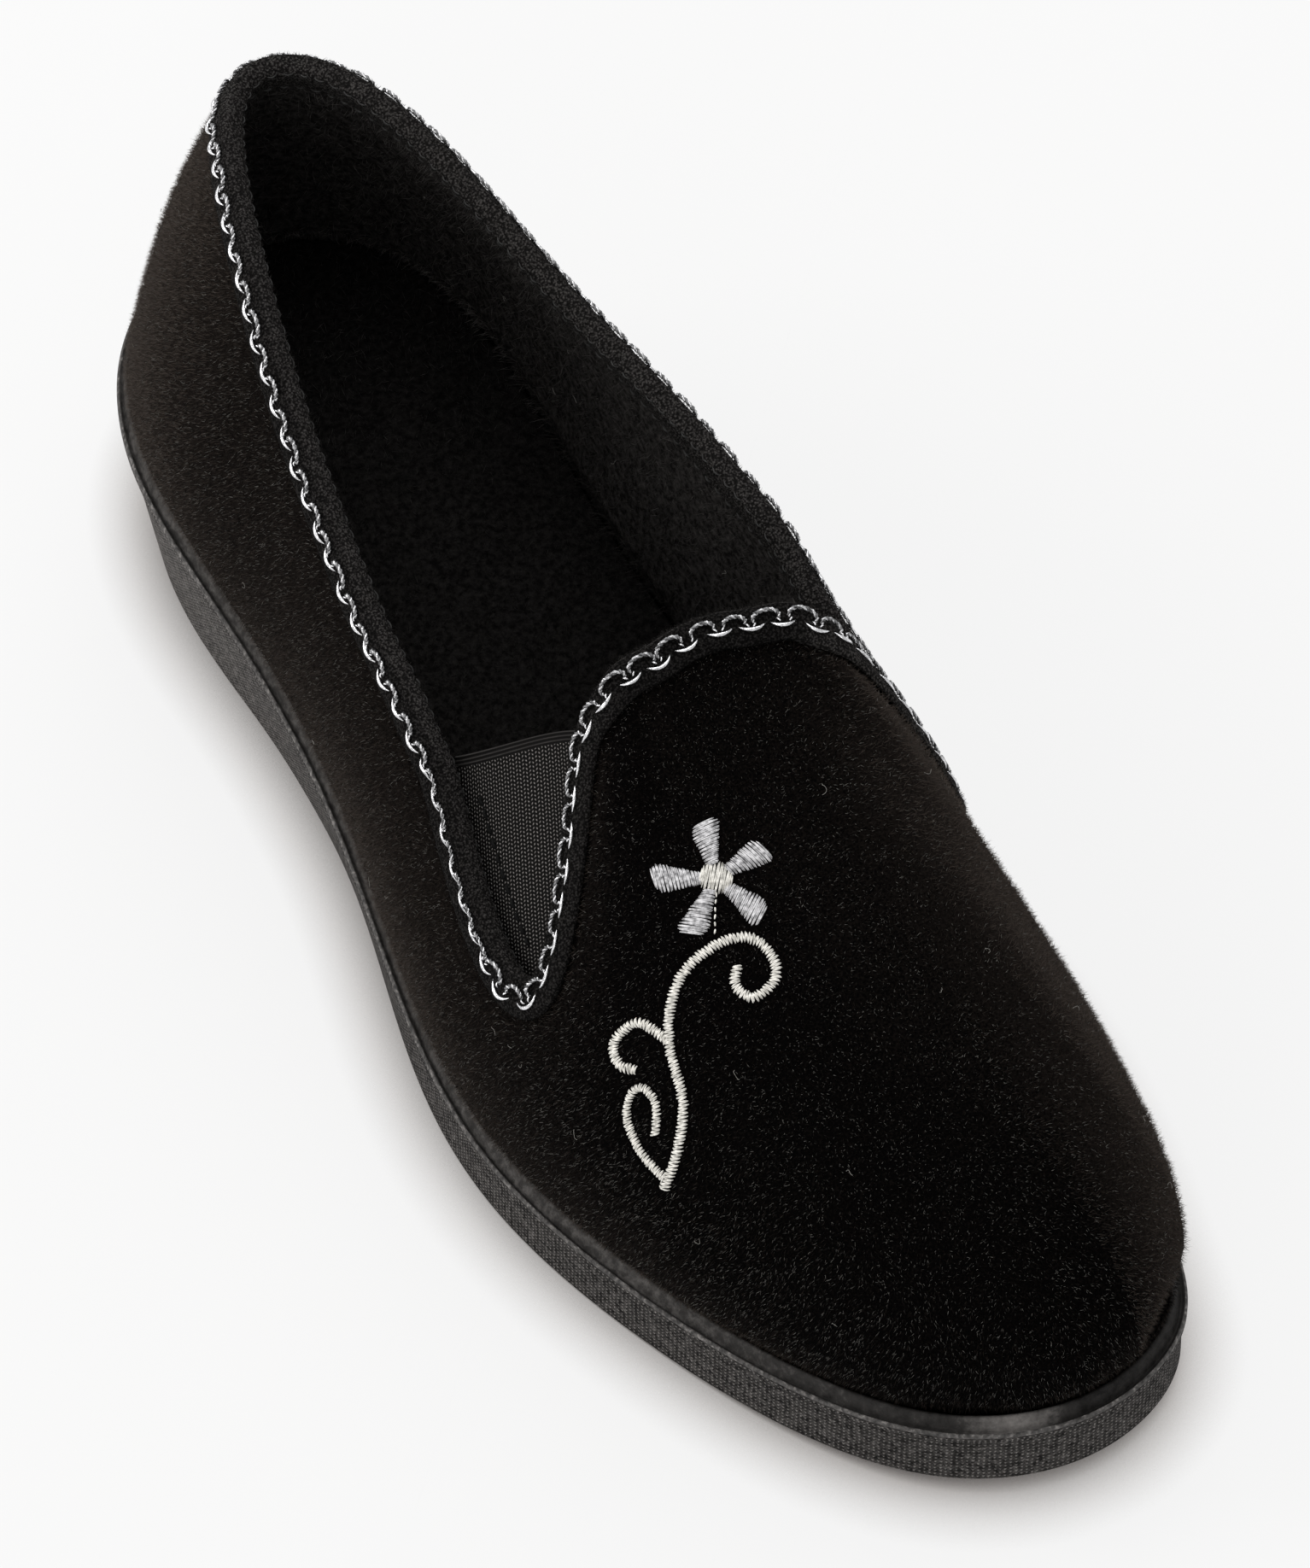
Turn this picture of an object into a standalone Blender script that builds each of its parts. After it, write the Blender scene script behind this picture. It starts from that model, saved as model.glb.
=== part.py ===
"""Velour wedge slipper, a right shoe: wedge sole, insole, upper, two elastic gores, edge binding and braid.

Metres, +Z up, +Y towards the toe, +X towards the outer side of the foot. The sole stands on z = 0.
"""

import bmesh
import bpy
import numpy as np

# Driving sizes
SHOE_LENGTH = 0.250
BALL_WIDTH = 0.0894
INSTEP_HEIGHT = 0.0825
HEEL_RISE = 0.0298
FOREFOOT_RISE = 0.0124
TOE_SPRING = 0.0042
ARCH_RISE = 0.0015

# Thicknesses and clearances
WALL = 0.0024
TAPE = 0.0008
GORE_THICKNESS = 0.0010
INSOLE_THICKNESS = 0.0040
GAP = 0.0003

# Lengthwise stretches of the sole, as shares of the shoe's length from the heel
WEDGE_STRETCH = (0.14, 0.68)
ARCH_STRETCH = (0.32, 0.54)
SPRING_STRETCH = (0.74, 1.00)
UNDERCUT_STRETCH = (0.26, 0.62)
HEEL_UNDERCUT = 0.0042
FOREFOOT_UNDERCUT = 0.0005

# Edge of the sole and the well that takes insole and upper
LIP_RISE = 0.0016
WELL_DEPTH = 0.0030
WELL_INSET = 0.0027
UPPER_INSET = WELL_INSET + GAP
INSOLE_INSET = UPPER_INSET + WALL + 2 * GAP

# Binding and braid
BINDING_LEG = 0.0048
BRAID_RADIUS = 0.0009
BRAID_DROP = 0.0016

# Mesh density
SOLE_POINTS = 96
INSOLE_POINTS = 64
UPPER_COLUMNS = 122
UPPER_ROWS = 8
GORE_COLUMNS = 15
GORE_ROWS = 5
NOTCH_DENSITY = 3.6
NOTCH_FADE = 1.7

# Stations round the shoe, from the heel's back along the outer side to the toe and back along the inner side.
# along and across place the sole's edge, top_along, top_across and top_height the edge of the opening: shares
# of shoe length from the heel, of ball width from the axis and of instep height from the floor.
# lean is the wall's outward lean in degrees where it leaves the sole, drop its fall where it leaves the opening.
# foot_pull and top_pull say how far the wall keeps these directions, as shares of its straight span.
COLUMNS = ("along", "across", "top_along", "top_across", "top_height", "lean", "foot_pull", "drop", "top_pull")
STATIONS = (
    ("heel_back", 0.000, 0.005, 0.056, 0.000, 0.986, -4, 0.35, 66, 0.35),
    ("heel_back_outer", 0.031, 0.229, 0.084, 0.086, 0.994, -6, 0.35, 57, 0.36),
    ("heel_outer", 0.133, 0.389, 0.168, 0.188, 0.990, 8, 0.35, 60, 0.35),
    ("quarter_outer", 0.280, 0.413, 0.284, 0.274, 0.869, 16, 0.35, 64, 0.35),
    ("waist_outer", 0.408, 0.435, 0.376, 0.322, 0.780, 18, 0.36, 64, 0.35),
    ("shank_outer", 0.500, 0.484, 0.428, 0.342, 0.741, 18, 0.38, 62, 0.35),
    ("ball_outer", 0.568, 0.520, 0.466, 0.351, 0.718, 18, 0.40, 56, 0.35),
    ("gore_rear_outer", 0.652, 0.534, 0.508, 0.347, 0.706, 16, 0.42, 40, 0.37),
    ("gore_front_outer", 0.780, 0.461, 0.568, 0.205, 0.909, 14, 0.38, 24, 0.38),
    ("tab_outer", 0.832, 0.410, 0.570, 0.145, 0.989, 14, 0.34, 26, 0.38),
    ("toe_outer", 0.898, 0.326, 0.569, 0.078, 0.999, 14, 0.30, 27, 0.38),
    ("tip_outer", 0.970, 0.168, 0.567, 0.025, 1.000, 14, 0.25, 28, 0.38),
    ("toe_tip", 1.000, -0.064, 0.567, -0.022, 1.000, 16, 0.22, 28, 0.38),
    ("tip_inner", 0.968, -0.275, 0.569, -0.067, 0.998, 24, 0.25, 28, 0.37),
    ("toe_inner", 0.898, -0.359, 0.574, -0.123, 0.990, 19, 0.26, 28, 0.34),
    ("tab_inner", 0.836, -0.406, 0.580, -0.192, 0.972, 7, 0.27, 30, 0.31),
    ("gore_front_inner", 0.784, -0.438, 0.588, -0.240, 0.915, -5, 0.27, 34, 0.29),
    ("gore_rear_inner", 0.644, -0.453, 0.514, -0.338, 0.716, -5, 0.33, 46, 0.32),
    ("ball_inner", 0.568, -0.410, 0.468, -0.350, 0.738, 4, 0.38, 56, 0.35),
    ("shank_inner", 0.500, -0.369, 0.430, -0.338, 0.764, 10, 0.36, 62, 0.35),
    ("waist_inner", 0.408, -0.331, 0.378, -0.316, 0.798, 10, 0.36, 64, 0.35),
    ("quarter_inner", 0.280, -0.330, 0.280, -0.252, 0.876, 10, 0.35, 64, 0.35),
    ("heel_inner", 0.132, -0.337, 0.152, -0.180, 0.984, 4, 0.35, 66, 0.35),
    ("heel_back_inner", 0.035, -0.227, 0.077, -0.100, 1.000, -2, 0.35, 70, 0.35),
)

# Outward share in the direction in which a rib leaves the opening, as a length added to its run in plan
SIDE_LEAVE = 0.006

# Notches of the opening: the stations that they lie between and the share of the wall left below them
NOTCHES = {
    "gore_outer": ("gore_rear_outer", "gore_front_outer", 0.57),
    "gore_inner": ("gore_rear_inner", "gore_front_inner", 0.57),
}
NOTCH_REAR_REACH = 0.0175
NOTCH_FRONT_REACH = 0.0150
NOTCH_BOTTOM_ROUND = 0.85
NOTCH_SHOULDER_ROUND = 0.35
GORE_MARGIN_T = 0.0035
GORE_MARGIN_S = 0.07
GORE_TOP = 0.985
GORE_CROWN = 0.042

# Section of the sole's edge from the tread to the well: where the height counts from, inset and rise
SOLE_SECTION = (
    ("tread_edge", "bottom", 0.0004, 0.0000),
    ("wall_foot", "bottom", 0.0000, 0.0004),
    ("wall_top", "rim", 0.0006, -0.0022),
    ("ridge_foot", "rim", 0.0000, -0.0017),
    ("ridge_top", "rim", 0.0000, -0.0005),
    ("ridge_back", "rim", 0.0005, 0.0000),
    ("groove", "rim", 0.0009, -0.0007),
    ("lip_foot", "rim", 0.0013, 0.0000),
    ("lip_top", "rim", 0.0023, LIP_RISE),
    ("lip_back", "rim", WELL_INSET, LIP_RISE - 0.0002),
    ("well_foot", "rim", WELL_INSET, -WELL_DEPTH),
)

# Colours, roughness and metallic values
FINISHES = {
    "wedge_sole": ((0.045, 0.043, 0.042), 0.60, 0.0),
    "insole": ((0.012, 0.012, 0.012), 0.95, 0.0),
    "upper": ((0.010, 0.009, 0.009), 0.95, 0.0),
    "gore_outer": ((0.038, 0.036, 0.035), 0.80, 0.0),
    "gore_inner": ((0.038, 0.036, 0.035), 0.80, 0.0),
    "collar_binding": ((0.014, 0.014, 0.014), 0.95, 0.0),
    "braid_trim": ((0.62, 0.62, 0.63), 0.35, 0.8),
}


def smooth_step(share):
    """Eases from 0 to 1 as the share does."""
    share = np.clip(share, 0.0, 1.0)
    return share * share * (3.0 - 2.0 * share)


def stretch_share(along, stretch):
    """How far a length share lies through a stretch of the shoe."""
    return (along - stretch[0]) / (stretch[1] - stretch[0])


# Closed smooth curves through the stations

TABLE = np.array([row[1:] for row in STATIONS])
ROW_OF = {row[0]: index for index, row in enumerate(STATIONS)}
EDGE_POINTS = np.column_stack([TABLE[:, 1] * BALL_WIDTH, (TABLE[:, 0] - 0.5) * SHOE_LENGTH])
SPANS = np.linalg.norm(np.roll(EDGE_POINTS, -1, axis=0) - EDGE_POINTS, axis=1)
KNOTS = np.concatenate([[0.0], np.cumsum(SPANS)[:-1]])
ROUND_LENGTH = SPANS.sum()


def closed_slopes(values):
    """Slopes at the stations of the smoothest closed curve through the values there."""
    count = len(SPANS)
    before = np.roll(SPANS, 1)
    rise = (np.roll(values, -1, axis=0) - values) / SPANS[:, None] ** 2
    system = np.zeros((count, count))
    rows = np.arange(count)
    system[rows, rows] = 2.0 / before + 2.0 / SPANS
    system[rows, (rows - 1) % count] = 1.0 / before
    system[rows, (rows + 1) % count] = 1.0 / SPANS
    return np.linalg.solve(system, 3.0 * (rise + np.roll(rise, 1, axis=0)))


SLOPES = closed_slopes(TABLE)


def station_values(turn):
    """All columns of the table at distances round the sole's edge."""
    turn = np.mod(turn, ROUND_LENGTH)
    row = np.searchsorted(KNOTS, turn, side="right") - 1
    after = (row + 1) % len(KNOTS)
    span = SPANS[row][:, None]
    share = (turn - KNOTS[row])[:, None] / span
    ease = share * share * (3.0 - 2.0 * share)
    leave = share * (1.0 - share) ** 2 * span
    arrive = share * share * (share - 1.0) * span
    return TABLE[row] * (1.0 - ease) + TABLE[after] * ease + SLOPES[row] * leave + SLOPES[after] * arrive


def column(values, name):
    return values[:, COLUMNS.index(name)]


def sole_edge(turn):
    """Widest edge of the sole, seen from above."""
    values = station_values(turn)
    return np.column_stack([column(values, "across") * BALL_WIDTH, (column(values, "along") - 0.5) * SHOE_LENGTH])


def outward(turn, step=0.0005):
    """Level unit vectors that point out of the sole's edge."""
    along_edge = sole_edge(turn + step) - sole_edge(turn - step)
    along_edge /= np.linalg.norm(along_edge, axis=1)[:, None]
    return np.column_stack([along_edge[:, 1], -along_edge[:, 0]])


# Heights and undercut of the sole

def toe_rise(along):
    return TOE_SPRING * np.clip(stretch_share(along, SPRING_STRETCH), 0.0, 1.0) ** 2


def bottom_height(along):
    """Underside: flat heel and forefoot, a shallow arch between them and the toe spring."""
    arch = np.sin(np.pi * np.clip(stretch_share(along, ARCH_STRETCH), 0.0, 1.0)) ** 2
    return ARCH_RISE * arch + toe_rise(along)


def rim_height(along):
    """Ridge of the side wall: the wedge falls from the heel to the forefoot."""
    wedge = smooth_step(stretch_share(along, WEDGE_STRETCH))
    return HEEL_RISE + (FOREFOOT_RISE - HEEL_RISE) * wedge + toe_rise(along)


def undercut(along):
    """Inset of the side wall's foot."""
    share = smooth_step(stretch_share(along, UNDERCUT_STRETCH))
    return HEEL_UNDERCUT + (FOREFOOT_UNDERCUT - HEEL_UNDERCUT) * share


def edge_ring(turn, inset, height):
    """Ring of points inside the sole's edge at the given heights."""
    plan = sole_edge(turn) - outward(turn) * np.asarray(inset).reshape(-1, 1)
    return np.column_stack([plan, height])


# Wall of the upper: a curved rib at each distance round the shoe, from the sole's lip to the opening

def wall(turn, share):
    """Points on the outer face; share runs from 0 at the lip to 1 at the opening."""
    values = station_values(turn)
    out = np.column_stack([outward(turn), np.zeros(len(turn))])
    up = np.array([0.0, 0.0, 1.0])
    foot = edge_ring(turn, np.full(len(turn), UPPER_INSET), rim_height(column(values, "along")) + LIP_RISE + GAP)
    top = np.column_stack([
        column(values, "top_across") * BALL_WIDTH,
        (column(values, "top_along") - 0.5) * SHOE_LENGTH,
        column(values, "top_height") * INSTEP_HEIGHT,
    ])
    span = np.linalg.norm(top - foot, axis=1)
    # Ribs leave the opening towards their foot; where that lies straight below they leave square to the edge.
    fan = (foot - top) * [1.0, 1.0, 0.0] + out * SIDE_LEAVE
    fan /= np.linalg.norm(fan, axis=1)[:, None]
    lean = np.radians(column(values, "lean"))[:, None]
    drop = np.radians(column(values, "drop"))[:, None]
    foot_pull = (span * column(values, "foot_pull"))[:, None]
    top_pull = (span * column(values, "top_pull"))[:, None]
    foot_guide = foot + foot_pull * (out * np.sin(lean) + up * np.cos(lean))
    top_guide = top + top_pull * (fan * np.cos(drop) - up * np.sin(drop))
    share = np.asarray(share)[:, None]
    rest = 1.0 - share
    return (rest**3 * foot + 3.0 * rest**2 * share * foot_guide
            + 3.0 * rest * share**2 * top_guide + share**3 * top)


def wall_slopes(turn, share, turn_step=0.0004, share_step=0.004):
    """How the outer face runs round the shoe and up the wall."""
    round_slope = (wall(turn + turn_step, share) - wall(turn - turn_step, share)) / (2.0 * turn_step)
    up_slope = (wall(turn, share + share_step) - wall(turn, share - share_step)) / (2.0 * share_step)
    return round_slope, up_slope


def wall_normal(turn, share):
    """Unit vectors that point out of the outer face."""
    normal = np.cross(*wall_slopes(turn, share))
    return normal / np.linalg.norm(normal, axis=1)[:, None]


def notch_place(name):
    """Middle of a notch round the shoe, and 1 or -1 for the way round that leads to its front."""
    rear, front = (KNOTS[ROW_OF[station]] for station in NOTCHES[name][:2])
    return 0.5 * (rear + front), np.sign(front - rear)


def notch_reach(name, turn):
    """Distance from a notch's middle: -1 at its rear shoulder, 1 at its front one."""
    centre, forward = notch_place(name)
    offset = (np.mod(turn, ROUND_LENGTH) - centre) * forward
    return offset / np.where(offset < 0.0, NOTCH_REAR_REACH, NOTCH_FRONT_REACH)


def opening_share(turn):
    """Wall share at the edge of the opening: 1 at the collar, less in the notches."""
    edge = np.ones(len(turn))
    for name, (_, _, left) in NOTCHES.items():
        slope = np.hypot(notch_reach(name, turn), NOTCH_BOTTOM_ROUND) - NOTCH_BOTTOM_ROUND
        slope /= np.hypot(1.0, NOTCH_BOTTOM_ROUND) - NOTCH_BOTTOM_ROUND
        side = 0.5 * (1.0 + slope - np.hypot(1.0 - slope, NOTCH_SHOULDER_ROUND))
        edge = np.minimum(edge, left + (1.0 - left) * side)
    return edge


def upper_turns():
    """Distances round the shoe for the wall's columns, closer together at the notches."""
    fine = np.linspace(0.0, ROUND_LENGTH, 2000, endpoint=False)
    density = np.ones(len(fine))
    for name in NOTCHES:
        beyond = np.abs(notch_reach(name, fine)) - 1.0
        density += NOTCH_DENSITY * (1.0 - smooth_step(beyond / NOTCH_FADE))
    count = np.concatenate([[0.0], np.cumsum(density)])
    wanted = np.arange(UPPER_COLUMNS) * count[-1] / UPPER_COLUMNS
    return np.interp(wanted, count, np.append(fine, ROUND_LENGTH))


def opening_frame(turn):
    """Edge of the opening with the wall's normal and the direction out of the wall at each point."""
    share = opening_share(turn)
    edge = wall(turn, share)
    normal = wall_normal(turn, share)
    step = 0.0003
    ahead = wall(turn + step, opening_share(turn + step))
    behind = wall(turn - step, opening_share(turn - step))
    along_edge = ahead - behind
    out_of_wall = np.cross(normal, along_edge)
    out_of_wall /= np.linalg.norm(out_of_wall, axis=1)[:, None]
    return share, edge, normal, out_of_wall


def below_edge(turn, drop, steps=6):
    """Places in the wall at a drop below the opening's edge, reached in short steps square to it."""
    share, _, _, out_of_wall = opening_frame(turn)
    stride = (-drop / steps * out_of_wall)[:, :, None]
    for _ in range(steps):
        slopes = np.stack(wall_slopes(turn, share), axis=2)
        across = np.swapaxes(slopes, 1, 2)
        moved = np.linalg.solve(across @ slopes, across @ stride)[:, :, 0]
        turn, share = turn + moved[:, 0], share + moved[:, 1]
    return turn, share


def beside_edge(turn, depth, drop):
    """Points at a depth outside the wall's outer face and a drop below the opening's edge."""
    if drop < 0.0:
        _, edge, normal, out_of_wall = opening_frame(turn)
        return edge + normal * depth - out_of_wall * drop
    place = below_edge(turn, drop)
    return wall(*place) + wall_normal(*place) * depth


# Meshes

def loft(name, rings, wrap):
    """Closed body through closed rings; wrap joins the last ring to the first, otherwise strips close both ends."""
    rings = np.asarray(rings)
    count = rings.shape[1]
    shape = bmesh.new()
    verts = [[shape.verts.new(point) for point in ring] for ring in rings]
    pairs = list(zip(verts, verts[1:] + verts[:1])) if wrap else list(zip(verts, verts[1:]))
    for low, high in pairs:
        for i in range(count):
            j = (i + 1) % count
            shape.faces.new((low[i], low[j], high[j], high[i]))
    if not wrap:
        for end in (verts[0], verts[-1]):
            close_end(shape, end)
    bmesh.ops.recalc_face_normals(shape, faces=shape.faces)
    # Neighbouring walls are split along the same diagonals, so their facets keep apart.
    bmesh.ops.triangulate(shape, faces=shape.faces, quad_method="SHORT_EDGE")
    mesh = bpy.data.meshes.new(name)
    shape.to_mesh(mesh)
    shape.free()
    mesh.shade_smooth()
    mesh.set_sharp_from_angle(angle=np.radians(40.0))
    return mesh


def close_end(shape, ring):
    """Strips across a ring, from its first point to the one halfway round."""
    count = len(ring)
    for i in range(count // 2):
        corners = (ring[i], ring[i + 1], ring[-i - 1], ring[-i % count])
        shape.faces.new(dict.fromkeys(corners))


def finish(name):
    colour, roughness, metallic = FINISHES[name]
    material = bpy.data.materials.new(name)
    material.use_nodes = True
    shader = material.node_tree.nodes["Principled BSDF"]
    shader.inputs["Base Color"].default_value = (*colour, 1.0)
    shader.inputs["Roughness"].default_value = roughness
    shader.inputs["Metallic"].default_value = metallic
    return material


def add_part(name, data, collection, parent):
    part = bpy.data.objects.new(name, data)
    data.materials.append(finish(name))
    collection.objects.link(part)
    part.parent = parent
    return part


def wedge_sole():
    turn = np.arange(SOLE_POINTS) * ROUND_LENGTH / SOLE_POINTS
    along = column(station_values(turn), "along")
    rings = []
    for _, base, inset, rise in SOLE_SECTION:
        if base == "bottom":
            rings.append(edge_ring(turn, undercut(along) + inset, bottom_height(along) + rise))
        else:
            rings.append(edge_ring(turn, np.full(SOLE_POINTS, inset), rim_height(along) + rise))
    return loft("wedge_sole", rings, wrap=False)


def insole():
    turn = np.arange(INSOLE_POINTS) * ROUND_LENGTH / INSOLE_POINTS
    floor = rim_height(column(station_values(turn), "along")) - WELL_DEPTH + GAP
    rounding = INSOLE_THICKNESS / 4
    section = ((0.0, 0.0), (0.0, INSOLE_THICKNESS - rounding), (rounding, INSOLE_THICKNESS))
    rings = [edge_ring(turn, np.full(INSOLE_POINTS, INSOLE_INSET + inset), floor + rise) for inset, rise in section]
    return loft("insole", rings, wrap=False)


def upper():
    """Hollow wall: tucked into the sole's well at its foot and open above and below."""
    turn = upper_turns()
    floor = rim_height(column(station_values(turn), "along")) - WELL_DEPTH + GAP
    outside = [edge_ring(turn, np.full(len(turn), UPPER_INSET), floor)]
    inside = [edge_ring(turn, np.full(len(turn), UPPER_INSET + WALL), floor)]
    leg_turn, leg_share = below_edge(turn, BINDING_LEG)
    climb = np.linspace(0.0, 1.0, UPPER_ROWS)
    places = [(turn + (leg_turn - turn) * part, leg_share * part) for part in climb]
    places.append((turn, opening_share(turn)))
    for place in places:
        face = wall(*place)
        outside.append(face)
        inside.append(face - wall_normal(*place) * WALL)
    return loft("upper", outside + inside[::-1], wrap=True)


def gore(name):
    """Elastic panel behind a notch, with a sewing margin behind the wall."""
    centre, forward = notch_place(name)
    rear, front = NOTCH_REAR_REACH + GORE_MARGIN_T, NOTCH_FRONT_REACH + GORE_MARGIN_T
    turn = centre + forward * np.linspace(-rear, front, GORE_COLUMNS)
    low = opening_share(turn) - GORE_MARGIN_S
    # The crown keeps the taut upper edge straight across the notch.
    high = GORE_TOP + GORE_CROWN * (1.0 - notch_reach(name, turn) ** 2)
    front_depth = WALL + TAPE + 2 * GAP
    outside, inside = [], []
    for row in range(GORE_ROWS):
        share = low + (high - low) * row / (GORE_ROWS - 1)
        face = wall(turn, share)
        normal = wall_normal(turn, share)
        outside.append(face - normal * front_depth)
        inside.append(face - normal * (front_depth + GORE_THICKNESS))
    columns = np.swapaxes(np.array(outside + inside[::-1]), 0, 1)
    return loft(name, columns, wrap=False)


def collar_binding():
    """Tape folded over the edge of the opening."""
    turn = upper_turns()
    outer, inner = GAP, -WALL - GAP
    section = (
        (outer + TAPE, BINDING_LEG),
        (outer + TAPE, -GAP),
        (outer, -GAP - TAPE),
        (inner, -GAP - TAPE),
        (inner - TAPE, -GAP),
        (inner - TAPE, BINDING_LEG),
        (inner, BINDING_LEG),
        (inner, -GAP),
        (outer, -GAP),
        (outer, BINDING_LEG),
    )
    return loft("collar_binding", [beside_edge(turn, depth, drop) for depth, drop in section], wrap=True)


def braid_trim():
    """Plain cord in the place of the braid, on the outer leg of the binding."""
    turn = upper_turns()
    path = beside_edge(turn, 2 * GAP + TAPE + BRAID_RADIUS, BRAID_DROP)
    curve = bpy.data.curves.new("braid_trim", "CURVE")
    curve.dimensions = "3D"
    curve.bevel_depth = BRAID_RADIUS
    curve.bevel_resolution = 1
    spline = curve.splines.new("POLY")
    spline.points.add(len(path) - 1)
    for point, place in zip(spline.points, path):
        point.co = (*place, 1.0)
    spline.use_cyclic_u = True
    return curve


def main():
    for old in list(bpy.data.objects):
        bpy.data.objects.remove(old, do_unlink=True)
    collection = bpy.data.collections.new("wedge_slipper")
    bpy.context.scene.collection.children.link(collection)

    # The frame's origin is below the middle of the shoe's box, so the last's axis is set off from it.
    widths = sole_edge(np.linspace(0.0, ROUND_LENGTH, 2000))[:, 0]
    frame = bpy.data.objects.new("shoe_frame", None)
    frame.location.x = -0.5 * (widths.min() + widths.max())
    collection.objects.link(frame)

    add_part("wedge_sole", wedge_sole(), collection, frame)
    add_part("insole", insole(), collection, frame)
    add_part("upper", upper(), collection, frame)
    add_part("gore_outer", gore("gore_outer"), collection, frame)
    add_part("gore_inner", gore("gore_inner"), collection, frame)
    add_part("collar_binding", collar_binding(), collection, frame)
    add_part("braid_trim", braid_trim(), collection, frame)


main()
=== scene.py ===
"""Looks of the velour wedge slipper: nap, lining, binding, chain braid, embroidery, gores and sole.

Metres, +Z up, +Y towards the toe, +X towards the outer side of the foot. The shapes are worked out from the
same named sizes as the solids, so each piece lies where its solid does.
"""

import math

import bpy
import numpy as np
from mathutils import Matrix, Vector
from mathutils.bvhtree import BVHTree


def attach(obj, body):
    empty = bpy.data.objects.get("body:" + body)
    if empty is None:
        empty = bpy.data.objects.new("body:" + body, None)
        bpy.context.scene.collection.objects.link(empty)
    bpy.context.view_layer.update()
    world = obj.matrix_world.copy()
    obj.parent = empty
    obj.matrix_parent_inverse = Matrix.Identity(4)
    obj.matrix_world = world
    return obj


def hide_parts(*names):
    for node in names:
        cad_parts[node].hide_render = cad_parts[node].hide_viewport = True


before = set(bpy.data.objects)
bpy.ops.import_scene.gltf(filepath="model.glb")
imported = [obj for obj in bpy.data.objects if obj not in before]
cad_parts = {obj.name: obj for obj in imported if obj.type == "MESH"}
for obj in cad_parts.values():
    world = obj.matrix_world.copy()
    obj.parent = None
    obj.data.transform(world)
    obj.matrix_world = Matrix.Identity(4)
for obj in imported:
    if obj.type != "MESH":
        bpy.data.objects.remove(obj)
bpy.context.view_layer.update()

MM = 0.001
UP = np.array([0.0, 0.0, 1.0])

# Sizes that the solids have too
SHOE_LENGTH = 0.250
BALL_WIDTH = 0.0894
INSTEP_HEIGHT = 0.0825
HEEL_RISE = 0.0298
FOREFOOT_RISE = 0.0124
TOE_SPRING = 0.0042
ARCH_RISE = 0.0015
WALL = 0.0024
TAPE = 0.0008
GORE_THICKNESS = 0.0010
INSOLE_THICKNESS = 0.0040
GAP = 0.0003
WEDGE_STRETCH = (0.14, 0.68)
ARCH_STRETCH = (0.32, 0.54)
SPRING_STRETCH = (0.74, 1.00)
UNDERCUT_STRETCH = (0.26, 0.62)
HEEL_UNDERCUT = 0.0042
FOREFOOT_UNDERCUT = 0.0005
LIP_RISE = 0.0016
WELL_DEPTH = 0.0030
WELL_INSET = 0.0027
UPPER_INSET = WELL_INSET + GAP
INSOLE_INSET = UPPER_INSET + WALL + 2 * GAP
BINDING_LEG = 0.0048
BRAID_DROP = 0.0016
SIDE_LEAVE = 0.006

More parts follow.
